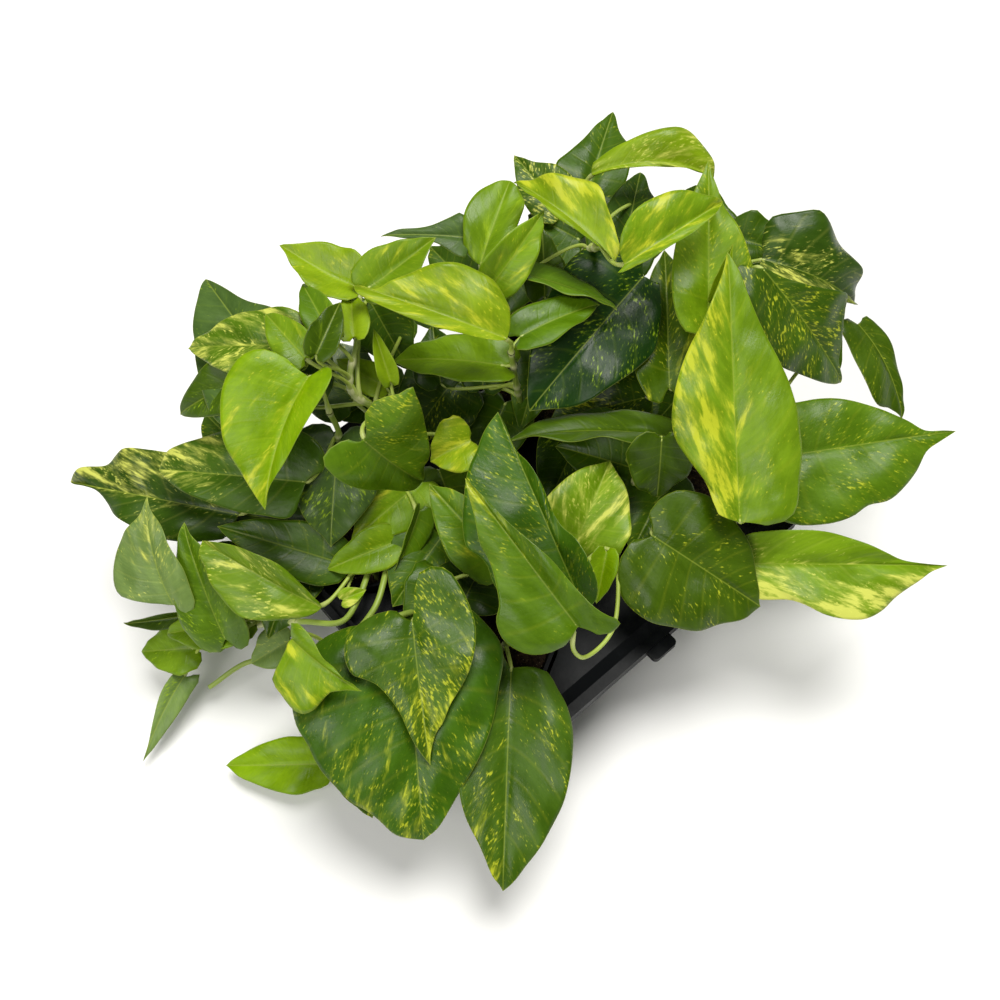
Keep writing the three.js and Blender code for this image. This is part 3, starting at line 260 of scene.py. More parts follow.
# The rims that the common heart shape doesn't give: the left and the right half of the blade, each from its
# notch round the lobe to the tip, as hundredths of half the width and of the length. None is the common one.
RIMS = {
    "front_long": ([15, 0, 41, 0, 64, 2, 82, 10, 98, 18, 109, 29, 110, 40, 105, 52, 95, 63, 74, 74, 48, 85, 25,
         93], None),
    "broad_dark": ([10, -8, 26, -14, 46, -16, 66, -13, 83, -3, 94, 11, 86, 31, 79, 45, 68, 57, 53, 69, 38, 80, 25, 88,
         14, 94],
        [12, -6, 33, -10, 63, -10, 93, -3, 112, 9, 119, 23, 116, 37, 105, 49, 98, 58, 87, 67, 72, 76, 57, 82, 41, 89,
         27, 95]),
    "speckled_dark": ([5, 0, 14, 13, 32, 27, 60, 40, 92, 53, 75, 61, 36, 76, 12, 88], None),
    "speckled": ([21, -33, 46, -36, 66, -32, 80, -22, 92, -8, 99, 8, 96, 24, 84, 39, 64, 52, 45, 62, 30, 73, 16, 80,
         3, 93],
        [10, -5, 33, -9, 57, -8, 81, -3, 102, 6, 111, 16, 110, 26, 101, 34, 87, 37, 68, 42, 50, 52, 35, 64, 24, 78,
         12, 90]),
    "front_large": ([18, -2, 37, -3, 60, -1, 81, 5, 94, 13, 99, 22, 90, 32, 72, 38, 61, 45, 49, 55, 44, 62, 41, 69,
         25, 80, 11, 92],
        [12, -5, 31, -9, 52, -10, 69, -8, 82, -5, 67, 0, 55, 7, 50, 15, 46, 27, 43, 41, 34, 52, 22, 64, 15, 73, 10,
         84, 4, 93]),
    "front_behind": ([11, -6, 32, -10, 61, -10, 89, -3, 107, 9, 114, 23, 112, 32, 118, 38, 130, 44, 127, 51, 117, 60,
         106, 66, 89, 75, 74, 81, 56, 86, 37, 92],
        [5, -6, 15, -10, 41, -3, 49, 9, 41, 27, 26, 35, 21, 44, 23, 55, 21, 63, 15, 71, 3, 79, 3, 93]),
    "tall_lime": ([11, 1, 29, 3, 38, 8, 44, 14, 55, 20, 72, 26, 89, 34, 94, 41, 91, 49, 81, 58, 65, 67, 46, 75, 27,
         84, 11, 92],
        [11, 1, 28, -1, 49, -1, 71, 1, 83, 6, 89, 16, 95, 28, 93, 35, 88, 45, 79, 54, 67, 61, 47, 72, 28, 83, 15,
         93]),
    "right_green": ([9, -6, 24, -10, 45, -10, 67, -3, 81, 9, 80, 18, 81, 32, 70, 47, 51, 62, 27, 74, 8, 83, 3, 93],
        [11, -6, 32, -10, 61, -10, 90, -3, 108, 9, 112, 17, 113, 29, 107, 39, 95, 47, 92, 58, 76, 67, 53, 76, 24, 83,
         14, 89]),
    "right_pale": ([22, 1, 46, 2, 61, 6, 69, 16, 72, 32, 67, 45, 48, 59, 25, 70, 10, 79, 3, 88],
        [13, 2, 52, 4, 67, 8, 71, 15, 71, 27, 80, 33, 98, 41, 107, 50, 107, 59, 89, 68, 64, 75, 36, 83, 14, 90]),
    "round_olive": (None, [10, -7, 40, -11, 67, -9, 87, -3, 106, 6, 114, 18, 115, 34, 106, 49, 86, 70, 55, 83, 29,
         93]),
    "lime_heart": ([15, -5, 28, -11, 49, -7, 55, 2, 57, 12, 53, 25, 48, 37, 39, 51, 28, 65, 16, 76, 3, 87, 3, 95],
        [16, 0, 36, -5, 64, -7, 85, -6, 101, -2, 111, 4, 115, 15, 114, 28, 107, 42, 95, 54, 82, 64, 63, 74, 41, 83,
         21, 90]),
    "mid_heart": ([20, -11, 38, -21, 62, -22, 83, -19, 103, -15, 118, -17, 112, -7, 104, 6, 89, 25, 66, 49, 32, 73, 3,
         96],
        [14, -9, 35, -15, 60, -17, 70, -14, 74, -5, 74, 15, 62, 35, 42, 60, 26, 82, 15, 92]),
    "left_upper": ([87, 7, 89, 25, 86, 43, 72, 60, 51, 78, 26, 92],
        [13, -6, 36, -10, 69, -10, 101, -3, 122, 9, 130, 23, 126, 37, 110, 53, 101, 62, 84, 72, 62, 85, 43, 94]),
    "leftmost": ([48, 4, 63, 14, 72, 23, 76, 34, 71, 46, 61, 55, 48, 65, 27, 74, 7, 81, 3, 87, 3, 95],
        [10, -6, 28, -10, 54, -10, 79, -3, 96, 9, 102, 23, 99, 37, 94, 43, 93, 52, 86, 66, 69, 71, 48, 77, 31, 92]),
    "pale_upright": ([17, 6, 59, 8, 97, 13, 133, 19, 142, 29, 135, 41, 117, 53, 96, 65, 67, 75, 34, 83, 11, 91],
        [8, -6, 23, -10, 43, -10, 63, -3, 76, 9, 89, 34, 77, 48, 54, 62, 38, 75, 21, 87]),
    "glossy_streaked": ([34, 8, 55, 21, 78, 36, 91, 50, 85, 63, 69, 74, 52, 84, 25, 95],
        [8, -1, 12, 6, 23, 15, 36, 23, 53, 36, 60, 46, 56, 60, 46, 72, 29, 85]),
    "dark_wing": ([12, -6, 34, -10, 64, -10, 94, -3, 113, 9, 119, 20, 110, 33, 91, 51, 76, 63, 65, 72, 48, 80, 25,
         91],
        [10, -6, 28, -10, 53, -10, 78, -3, 94, 9, 100, 23, 90, 40, 72, 47, 54, 59, 29, 73, 14, 88]),
    "streaked_long": ([9, 1, 23, 11, 35, 23, 46, 39, 50, 54, 48, 67, 44, 76, 36, 85, 25, 95],
        [29, 2, 59, 5, 84, 12, 106, 21, 114, 32, 115, 44, 105, 53, 85, 64, 60, 72, 33, 79, 6, 87, 3, 96]),
    "cream_edge": ([4, 11, 3, 22, 22, 32, 35, 44, 39, 57, 33, 68, 30, 77, 16, 90],
        [27, 3, 38, 10, 54, 17, 65, 24, 79, 33, 97, 41, 105, 48, 97, 58, 80, 67, 54, 79, 25, 90]),
    "streaked_fan": ([26, 1, 57, 7, 82, 17, 100, 30, 103, 43, 100, 54, 93, 64, 76, 74, 49, 84, 19, 94],
        [5, -6, 15, -8, 26, -3, 32, 9, 40, 18, 41, 42, 44, 56, 43, 66, 31, 81, 15, 92]),
    "blue_dark": ([23, -3, 46, 7, 76, 23, 91, 35, 88, 47, 79, 60, 71, 69, 63, 77, 46, 86],
        [11, -6, 29, -10, 56, -10, 82, -3, 99, 9, 105, 23, 102, 37, 89, 53, 70, 67, 59, 77, 42, 85, 18, 95]),
    "top_cream": ([18, -1, 33, 8, 46, 17, 58, 30, 72, 43, 85, 58, 90, 70, 80, 81, 58, 92],
        [8, -2, 13, 16, 18, 40, 15, 60, 8, 79, 9, 91]),
    "top_dark": ([10, -6, 28, -10, 53, -10, 78, -3, 94, 9, 97, 18, 73, 37, 47, 58, 23, 81],
        [9, -6, 25, -10, 47, -10, 69, -3, 83, 9, 88, 23, 86, 37, 75, 53, 65, 59, 44, 72, 21, 86]),
    "top_speckled": ([8, -6, 22, -10, 41, -10, 61, -3, 74, 9, 78, 23, 76, 37, 66, 53, 45, 71, 23, 86],
        [10, -6, 28, -10, 53, -10, 78, -3, 94, 9, 100, 23, 97, 37, 84, 54, 57, 64, 25, 79, 9, 91]),
    "behind_tall": ([9, -6, 25, -10, 48, -10, 70, -3, 85, 9, 90, 23, 87, 37, 76, 53, 58, 69, 41, 78, 29, 84, 14, 92],
        [11, -6, 31, -10, 58, -10, 86, -3, 104, 9, 110, 24, 105, 30, 98, 38, 82, 50, 60, 62, 30, 75, 14, 87]),
    "bent_dark": ([25, -2, 53, -4, 72, -3, 88, 4, 102, 17, 114, 31, 108, 38, 93, 48, 80, 60, 64, 76, 50, 90, 3, 96],
        [43, 1, 50, 15, 48, 30, 40, 47, 30, 67, 22, 80, 16, 88]),
    "far_dark": ([45, -2, 54, 13, 52, 30, 39, 50, 26, 72, 16, 89],
        [10, -6, 27, -10, 51, -10, 74, -3, 87, 13, 102, 34, 105, 54, 96, 74, 46, 84, 20, 92, 7, 97]),
    "skirt_lobed": ([48, -8, 57, 9, 43, 32, 20, 54, 10, 79, 4, 92, 1, 97],
        [17, 0, 55, 12, 83, 9, 109, 16, 120, 28, 132, 46, 129, 60, 105, 69, 68, 72, 42, 74, 17, 85]),
    "low_long": ([64, -8, 71, 17, 66, 41, 39, 72, 25, 84, 11, 92, 4, 97],
        [6, -6, 16, -10, 30, -10, 44, -3, 53, 9, 54, 23, 47, 35, 27, 56, 4, 82]),
    "striped_round": ([56, 11, 71, 26, 87, 46, 85, 63, 70, 79, 37, 91],
        [7, -6, 19, -10, 37, -10, 54, -3, 65, 9, 69, 23, 65, 31, 69, 60, 68, 76, 38, 91]),
    "grey_point": ([72, 7, 64, 18, 33, 35, 18, 52, 11, 79, 4, 92, 1, 97],
        [73, 12, 56, 26, 29, 47, 20, 69, 9, 90]),
}

# How far a midrib bows to its right, and how much more each half folds up: bow, left, right.
FORMS = {
    "lime_heart": (4, 30, 0), "top_cream": (-7, 0, 30), "far_dark": (-4, 0, 0), "cream_edge": (2, 35, 0),
    "low_long": (2, 0, 0), "pale_upright": (-4, 0, 0), "front_large": (0, 0, 35), "streaked_long": (0, 35, 0),
    "streaked_fan": (0, 0, 35), "bent_dark": (0, 0, 30), "glossy_streaked": (0, 0, 30), "mid_heart": (0, 0, 15),
    "skirt_lobed": (0, 20, 0), "right_pale": (0, 15, 0), "front_behind": (0, 0, 30),
}

# One side of a heart-shaped blade laid flat, from its notch round the lobe to the tip: shares of half
# its width and of its length.
HEART = [(0, 0), (0.1, -0.055), (0.28, -0.105), (0.53, -0.1), (0.78, -0.03), (0.94, 0.09), (1, 0.23), (0.97, 0.37),
         (0.85, 0.53), (0.64, 0.69), (0.38, 0.835), (0.17, 0.925), (0.06, 0.972), (0, 1)]

# -------- materials


def linear(hex_colour):
    """The linear colour of a web colour, as the shaders take it."""
    values = [int(hex_colour[i:i + 2], 16) / 255 for i in (0, 2, 4)]
    return [v / 12.92 if v < 0.04045 else ((v + 0.055) / 1.055) ** 2.4 for v in values]


class Look:
    """A material whose shader is put together node by node."""

    def __init__(self, name, **settings):
        self.material = bpy.data.materials.new(name)
        self.material.use_nodes = True
        self.tree = self.material.node_tree
        self.shader = self.tree.nodes["Principled BSDF"]
        self.set(**settings)

    def set(self, **settings):
        for name, value in settings.items():
            self.put(self.shader.inputs[name.replace("_", " ")], value)

    def put(self, socket, value):
        if isinstance(value, bpy.types.NodeSocket):
            self.tree.links.new(value, socket)
        else:
            socket.default_value = value

    def node(self, kind, *values, **settings):
        made = self.tree.nodes.new(kind)
        for name, value in settings.items():
            setattr(made, name, value)
        for socket, value in zip(made.inputs, values):
            self.put(socket, value)
        return made

    def math(self, operation, *values):
        return self.node("ShaderNodeMath", *values, operation=operation).outputs[0]

    def times(self, value, by):
        return self.math("MULTIPLY", value, by)

    def line(self, value, by, plus):
        """The value, multiplied and then added to."""
        return self.math("MULTIPLY_ADD", value, by, plus)

    def ramp(self, value, low, high, to_low=0.0, to_high=1.0):
        made = self.node("ShaderNodeMapRange", value, low, high, to_low, to_high, interpolation_type="SMOOTHSTEP")
        return made.outputs[0]

    def noise(self, vector, scale=1.0, detail=3.0, rough=0.5):
        made = self.node("ShaderNodeTexNoise", vector)
        for name, value in (("Scale", scale), ("Detail", detail), ("Roughness", rough)):
            made.inputs[name].default_value = value
        return made.outputs[0]

    def mix(self, share, first, second, blend="MIX"):
        made = self.node("ShaderNodeMix", data_type="RGBA", blend_type=blend)
        for socket, value in zip((made.inputs[0], made.inputs[6], made.inputs[7]), (share, first, second)):
            self.put(socket, [*value, 1.0][:4] if isinstance(value, (list, tuple)) else value)
        return made.outputs[2]

    def tinted(self, colour, by):
        return self.mix(1.0, colour, by, "MULTIPLY")

    def bump(self, height, strength, distance):
        made = self.node("ShaderNodeBump")
        for name, value in (("Strength", strength), ("Distance", distance), ("Height", height)):
            self.put(made.inputs[name], value)
        self.set(Normal=made.outputs[0])

    def vector(self, *values):
        return self.node("ShaderNodeCombineXYZ", *values).outputs[0]

    def scaled(self, vector, by):
        made = self.node("ShaderNodeVectorMath", vector, operation="MULTIPLY")
        made.inputs[1].default_value = by
        return made.outputs[0]

    def uv(self, layer):
        return self.node("ShaderNodeUVMap", uv_map=layer).outputs[0]

    def split(self, vector):
        return self.node("ShaderNodeSeparateXYZ", vector).outputs

    def read(self, layer, kind="Color"):
        """The values drawn on the mesh: the first three, and the fourth."""
        made = self.node("ShaderNodeAttribute", attribute_name=layer)
        return made.outputs[kind], made.outputs["Alpha"]

    def place(self):
        return self.node("ShaderNodeTexCoord").outputs["Object"]


def leaf_look(name, under):
    """The skin of a blade: its green, flecks and streaks along its length, fine veins and a thin margin."""
    halo_share, patch_share, fleck_share, vein_height = (0.15, 0.4, 0.3, 0.5) if under else (0.26, 0.8, 0.66, -0.2)
    look = Look(name, Roughness=0.6 if under else 0.4, Specular_IOR_Level=0.15 if under else 0.21)
    left_to_right, along = look.split(look.uv("blade"))[:2]
    across = look.line(left_to_right, 2.0, -1.0)
    beside, ahead_cm = look.split(look.uv("flat"))[:2]
    off_midrib = look.math("ABSOLUTE", beside)
    tone, to_tip = look.read("tone")
    cream, to_side = look.read("cream")
    drawn, off_rim = look.read("drawn", "Vector")
    flecks, patches, phase = look.split(drawn)[:3]
    depth = look.line(look.math("GREATER_THAN", beside, 0.0), 7.3, look.times(phase, 37.0))

    def lengthwise(out, up, shift, slant=0.3):
        """Places that run from the midrib outwards to the tip, counted per centimetre."""
        aside = look.line(ahead_cm, -slant, off_midrib)
        return look.vector(look.times(aside, out), look.times(ahead_cm, up), look.math("ADD", depth, shift))

    # Where the flecks and the broad streaks are. They gather to one side, and to the tip or the base.
    sideways = look.times(look.line(to_side, 2.0, -1.0), across)
    tipward = look.times(look.line(to_tip, 2.0, -1.0), look.line(along, 2.0, -1.0))
    bias = look.math("ADD", sideways, tipward)
    crowd = look.noise(lengthwise(0.6, 0.4, 9.0), detail=1.0)
    small = look.noise(lengthwise(6.5, 2.6, 3.0, 0.5), detail=2.5, rough=0.6)
    small = look.line(bias, 0.07, look.line(crowd, 0.4, small))
    fleck_at = look.math("SUBTRACT", small, look.line(flecks, -0.36, 1.02))
    broad = look.noise(lengthwise(1.5, 0.36, 0.0), detail=5.0, rough=0.62)
    patch_at = look.math("SUBTRACT", look.line(bias, 0.2, broad), look.line(patches, -0.4, 0.79))

    # The green: clouded, brushed along the length, and paler over the side veins.
    cloud = look.noise(lengthwise(0.7, 0.3, 17.0), detail=4.0, rough=0.6)
    skin = look.mix(look.ramp(cloud, 0.3, 0.7), look.tinted(tone, (0.76, 0.78, 0.7)),
                    look.tinted(tone, (1.2, 1.14, 1.1)))
    brushed = look.vector(look.times(look.math("ABSOLUTE", across), 3.0), look.times(along, 60.0), depth)
    fine = look.noise(brushed, detail=4.0, rough=0.65)
    skin = look.mix(look.ramp(fine, 0.3, 0.7, 0.0, 0.45), skin, look.tinted(skin, (1.35, 1.28, 1.2)))
    ridge = look.math("FRACT", look.line(along, float(SIDE_VEINS), 0.5))
    off_vein = look.math("ABSOLUTE", look.math("SUBTRACT", ridge, 0.5))
    vein = look.times(look.ramp(off_vein, 0.12, 0.0), look.ramp(off_rim, 0.0, 0.6))
    skin = look.mix(look.times(vein, 0.06), skin, cream)

    # The cream over it: a halo round each streak and fleck, and then these themselves.
    halo = look.math("MAXIMUM", look.ramp(patch_at, -0.09, 0.04), look.times(look.ramp(fleck_at, -0.09, 0.02), 0.7))
    skin = look.mix(look.times(halo, halo_share), skin, cream)
    skin = look.mix(look.times(look.ramp(patch_at, 0.0, 0.1), patch_share), skin, cream)
    skin = look.mix(look.times(look.ramp(fleck_at, 0.0, 0.07), fleck_share), skin, cream)
    skin = look.mix(look.times(look.ramp(off_midrib, 0.06, 0.025), 0.35), skin, linear(MIDRIB_PALE))
    skin = look.mix(look.times(look.ramp(off_rim, 0.05, 0.02), 0.4), skin, linear(MARGIN_PALE))
    look.set(Base_Color=look.mix(0.3, skin, linear(UNDER_PALE)) if under else skin)

    grain = look.noise(lengthwise(22.0, 24.0, 0.0), detail=2.0, rough=0.6)
    height = look.line(grain, 0.12, look.times(vein, vein_height))
    height = look.line(look.noise(lengthwise(4.0, 2.5, 5.0)), 0.6, look.line(fine, 0.35, height))
    look.bump(height, 0.5, 0.0006)
    if not under:
        look.set(Roughness=look.ramp(cloud, 0.3, 0.75, 0.27, 0.5))
    return look.material


def stalk_look():
    """Stalks and stems: pale green with faint lengthwise streaks."""
    look = Look("stalk", Roughness=0.42, Specular_IOR_Level=0.5)
    tone, _ = look.read("tone")
    streaks = look.noise(look.scaled(look.uv("blade"), (24.0, 3.0, 1.0)))
    look.set(Base_Color=look.mix(look.ramp(streaks, 0.35, 0.7), look.tinted(tone, (0.8, 0.84, 0.75)), tone))
    look.bump(streaks, 0.3, 0.0005)
    return look.material


def plastic_look(name, colour, rough, dust):
    """Moulded black plastic with fine grain, dust and faint rubbed streaks."""
    look = Look(name, Specular_IOR_Level=0.08)
    place = look.place()
    worn = look.noise(place, 34.0, 5.0, 0.6)
    fine = look.noise(look.scaled(place, (1.0, 1.0, 0.35)), 420.0)
    base = linear(colour)
    dusty = [min(1.0, v * 2.2 + dust) for v in base]
    look.set(Base_Color=look.mix(look.ramp(worn, 0.45, 0.8), base, dusty),
             Roughness=look.ramp(worn, 0.3, 0.8, rough - 0.08, rough + 0.14))
    look.bump(look.line(worn, 0.4, fine), 0.25, 0.0004)
    return look.material


def soil_look():
    """Dark potting soil in crumbs, with pale specks."""
    look = Look("potting_soil", Roughness=0.95, Specular_IOR_Level=0.2)
    place = look.place()
    clods = look.noise(place, 160.0, 6.0, 0.65)
    specks = look.noise(place, 700.0, 2.0)
    brown = look.mix(look.ramp(clods, 0.35, 0.7), linear("17100b"), linear("4a3829"))
    look.set(Base_Color=look.mix(look.ramp(specks, 0.66, 0.72), brown, linear("8b7a62")))
    look.bump(clods, 0.9, 0.003)
    return look.material


# -------- mesh building

TOP, UNDER, STALK = range(3)  # the materials of a vine, in this order


class Skin:
    """Vertices, faces and the values drawn on them, gathered for one object."""

    def __init__(self):
        self.points, self.faces, self.kinds = [], [], []
        self.blade, self.flat, self.tone, self.cream, self.drawn = [], [], [], [], []

    def add(self, points, faces, kinds, blade, flat, tone, cream=(0, 0, 0, 0.5), drawn=(0, 0, 0, 1), to_tip=0.5):
        count = len(points)
        self.faces.append(faces + sum(len(p) for p in self.points))
        self.points.append(points)
        self.kinds.append(np.broadcast_to(kinds, len(faces)))
        self.blade.append(blade)
        self.flat.append(flat)
        self.tone.append(np.column_stack([np.broadcast_to(tone, (count, 3)), np.full(count, to_tip)]))
        self.cream.append(np.broadcast_to(cream, (count, 4)))
        self.drawn.append(np.broadcast_to(drawn, (count, 4)))

    def built(self, name, materials):
        points = np.concatenate(self.points) * MM
        faces = np.concatenate(self.faces)
        mesh = bpy.data.meshes.new(name)
        mesh.from_pydata(points.tolist(), [], faces.tolist())
        mesh.polygons.foreach_set("material_index", np.concatenate(self.kinds).astype(np.int32))
        mesh.polygons.foreach_set("use_smooth", np.ones(len(faces), dtype=bool))
        corners = np.empty(len(mesh.loops), dtype=np.int32)
        mesh.loops.foreach_get("vertex_index", corners)
        for layer, values in (("blade", self.blade), ("flat", self.flat)):
            values = np.concatenate(values)[corners]
            mesh.uv_layers.new(name=layer).data.foreach_set("uv", values.astype(np.float32).ravel())
        for layer, values in (("tone", self.tone), ("cream", self.cream), ("drawn", self.drawn)):
            rgba = np.concatenate(values).astype(np.float32)
            mesh.attributes.new(layer, "FLOAT_COLOR", "POINT").data.foreach_set("color", rgba.ravel())
        for material in materials:
            mesh.materials.append(material)
        mesh.validate()
        piece = bpy.data.objects.new(name, mesh)
        bpy.context.collection.objects.link(piece)
        return piece


def curve_points(points, each=14):
    """A smooth line through points, in steps from each to the next: the curve that the frame's stems have."""
    points = [np.array(p, float) for p in points]
    points = [2 * points[0] - points[1], *points, 2 * points[-1] - points[-2]]
    line = []
    for p0, p1, p2, p3 in zip(points, points[1:], points[2:], points[3:]):
        d0, d1, d2 = (math.sqrt(np.linalg.norm(b - a)) for a, b in ((p0, p1), (p1, p2), (p2, p3)))
        m1 = d1 * ((p1 - p0) / d0 - (p2 - p0) / (d0 + d1) + (p2 - p1) / d1)
        m2 = d1 * ((p2 - p1) / d1 - (p3 - p1) / (d1 + d2) + (p3 - p2) / d2)
        for t in np.arange(each) / each:
            line.append((2 * t ** 3 - 3 * t ** 2 + 1) * p1 + (t ** 3 - 2 * t ** 2 + t) * m1
                        + (3 * t ** 2 - 2 * t ** 3) * p2 + (t ** 3 - t ** 2) * m2)
    line.append(points[-2])
    return np.array(line)


def run_along(line):
    """The length of a line up to each of its points."""
    return np.concatenate([[0], np.cumsum(np.linalg.norm(np.diff(line, axis=0), axis=1))])


def hump(at, middle, reach):
    """1 at the middle, and falling smoothly on both sides of it."""
    return np.exp(-((at - middle) / reach) ** 2)


def half_width(t):
    """Half the width of a blade at share t of its length, as a share of its greatest."""
    back = np.clip((WIDEST - t) / WIDEST, 0, None)
    on = np.clip((t - WIDEST) / (1 - WIDEST), 0, 1)
    return np.where(t < WIDEST, np.sqrt(1 - 0.74 * back ** 2), (1 - on) ** 1.25 * (1 + 1.25 * on))


def outline(length, width, rim, rnd):
    """One side of a blade's rim, in even steps. A common heart has small chance differences."""
    if rim:
        shares = [(0, 0), *((x / 100, y / 100) for x, y in zip(rim[::2], rim[1::2])), (0, 1)]
    else:
        shares = [(x * (1 + rnd.uniform(-0.05, 0.05)), y + rnd.uniform(-0.01, 0.01) * (0 < y < 1)) for x, y in HEART]
    line = curve_points([(x * width / 2, y * length, 0) for x, y in shares], 12)
    run = run_along(line)
    even = np.linspace(0, run[-1], RIM_POINTS)
    return np.interp(even, run, np.clip(line[:, 0], 0, None)), np.interp(even, run, line[:, 1])


class Midrib:
    """The midrib of a blade and the way the blade's upper face looks along it."""

    def __init__(self, leaf):
        self.base, self.tip = np.array(leaf.base, float), np.array(leaf.tip, float)
        chord = self.tip - self.base
        self.length = np.linalg.norm(chord)
        face = np.array(leaf.face, float)
        face -= chord * face.dot(chord) / chord.dot(chord)
        self.face = face / np.linalg.norm(face)
        self.bend = self.base * 0.55 + self.tip * 0.45 + self.face * leaf.arch

    def at(self, t):
        """The point at share t of the length, and the ways forward, up and to the right there."""
        t = np.asarray(t, float)[..., None]
        first = self.base * (1 - t) + self.bend * t
        second = self.bend * (1 - t) + self.tip * t
        forward = second - first
        forward /= np.linalg.norm(forward, axis=-1, keepdims=True)
        up = self.face - forward * (forward @ self.face)[..., None]
        up /= np.linalg.norm(up, axis=-1, keepdims=True)
        return first * (1 - t) + second * t, forward, up, np.cross(forward, up)


def two_faced(high, wide):
    """The faces of two grids of points, closed round their rim, and the material of each."""
    grid = np.arange(high * wide).reshape(high, wide)
    quads = np.stack([grid[:-1, :-1], grid[:-1, 1:], grid[1:, 1:], grid[1:, :-1]], -1).reshape(-1, 4)
    under = quads[:, ::-1] + high * wide
    ring = np.concatenate([grid[0, :], grid[1:, -1], grid[-1, -2::-1], grid[-2:0:-1, 0]])
    after = np.roll(ring, -1)
    rim = np.stack([ring, ring + high * wide, after + high * wide, after], -1)
    kinds = np.repeat([TOP, UNDER, TOP], [len(quads), len(under), len(rim)])
    return np.concatenate([quads, under, rim]), kinds


def add_blade(skin, leaf):
    """A blade with its veins, keel, and waved halves and margins, as two sheets closed at the rim."""
    rnd = random.Random(leaf.name)
    midrib = Midrib(leaf)
    length, width = midrib.length, leaf.width
    bow, more_left, more_right = FORMS.get(leaf.name, (0, rnd.uniform(*CHANCE_FOLD), rnd.uniform(*CHANCE_FOLD)))

    # The grid: v runs along the midrib, and s from the left rim at -1 to the right one at 1.
    rows = int(min(MOST_ROWS, max(FEWEST_ROWS, length / ROW_STEP)))
    columns = int(min(MOST_COLUMNS, max(FEWEST_COLUMNS, width / COLUMN_STEP)))
    v = np.concatenate([[FIRST_ROW], (np.arange(1, rows) / rows) ** ROW_POWER, [1.0]])
    s = np.linspace(-1, 1, 2 * columns + 1)
    s = np.sign(s) * np.abs(s) ** COLUMN_POWER
    rims = [[np.interp(v ** RIM_POWER, np.linspace(0, 1, RIM_POINTS), line)
             for line in outline(length, width, rim, rnd)] for rim in RIMS.get(leaf.name, (None, None))]
    rim_x, rim_y = (np.where(s < 0, left[:, None], right[:, None]) for left, right in zip(*rims))
    v, a = v[:, None], np.abs(s)[None, :]
    side = np.sign(s) * np.ones_like(rim_x)

    # The blade laid flat: x is the distance from the midrib, and y runs from the base to the tip.
    x = rim_x * ((1 + OUTWARD) * a - OUTWARD * a ** 2)
    y = v * length + (rim_y - v * length) * ((1 - SWEEP) * a + SWEEP * a ** 2)

    # How far it rises: folds, bulges, waves, quilting, the groove and the drooping tip.
    t = np.clip(y / length, 0, 1)
    reach = np.where(t > WIDEST, width / 2 * half_width(t), width / 2)
    ratio = np.clip(x / np.maximum(reach, 1e-6), 0, 1)
    angle = np.radians(leaf.fold + np.where(side < 0, more_left, more_right))
    size = min(1.0, width / FULL_WIDTH)
    near_tip = np.clip(4 * (1 - v), 0, 1)
    rise = x * ratio ** 0.4 * np.sin(angle)
    rise += BULGE * rim_x * np.sin(math.pi * a) - rnd.uniform(*RIM_DROOP) * rim_x * a ** 3
    for _ in range(SWELLS):
        turn, swell = rnd.uniform(0, 2 * math.pi), rnd.uniform(*SWELL_LENGTH) * (0.5 + 0.5 * size)
        phase = (x * side * math.cos(turn) + y * math.sin(turn)) * 2 * math.pi / swell
        rise += rnd.uniform(*SWELL_HEIGHT) * size * np.sin(phase + rnd.uniform(0, 6)) * np.clip(x / CALM, 0, 1)
    quilt = np.abs(np.sin(math.pi * SIDE_VEINS * v)) ** 0.7
    rise += QUILT * size * quilt * np.sin(math.pi * a ** 0.8) * np.clip(3 * v, 0, 1)
    for sign in (-1, 1):
        turns, start = rnd.uniform(*MARGIN_TURNS), rnd.uniform(0, 2 * math.pi)
        wave = np.sin(2 * math.pi * turns * v + start)
        rise += np.where(side == sign, 1, 0) * rnd.uniform(*MARGIN_HEIGHT) * size * wave * a ** 2.5 * near_tip
    rise -= GROOVE * size * hump(x, 0, MIDRIB_HALF) * near_tip
    rise -= TIP_DROOP * length * np.clip((v - TIP_FROM) / (1 - TIP_FROM), 0, 1) ** 2

    # In its place, as two sheets of points.
    point, forward, up, across = midrib.at(t)
    aside = x * side * np.cos(angle) + bow * 4 * t * (1 - t)
    middle = point + forward * (y - t * length)[..., None] + across * aside[..., None]
    thick = THICK - THINNER * a + KEEL * size * hump(x, 0, MIDRIB_HALF) * (1 - v)
    sheets = [middle + up * (rise + ABOVE)[..., None], middle + up * (rise + ABOVE - thick)[..., None]]
    faces, kinds = two_faced(*x.shape)

    # What the shader reads, the same on both sheets.
    blade = np.stack(np.broadcast_arrays(0.5 + 0.5 * s, v), -1).reshape(-1, 2)
    flat = np.stack([x * side / CM, y / CM], -1).reshape(-1, 2)
    shade = 1 + 0.08 * rnd.uniform(-1, 1)
    off_rim = (np.hypot(rim_x - x, rim_y - y) / CM).reshape(-1, 1)
    spread = np.broadcast_to((leaf.flecks, leaf.patches, rnd.random()), (len(off_rim), 3))
    skin.add(np.concatenate([sheet.reshape(-1, 3) for sheet in sheets]), faces, kinds,
             np.tile(blade, (2, 1)), np.tile(flat, (2, 1)),
             np.array(linear(TONES[leaf.tone])) * shade, (*linear(CREAMS[leaf.cream]), 0.5 + 0.5 * leaf.lean),
             np.tile(np.hstack([spread, off_rim]), (2, 1)), 0.5 + 0.5 * TIPWARD.get(leaf.name, 0.0))
    return midrib


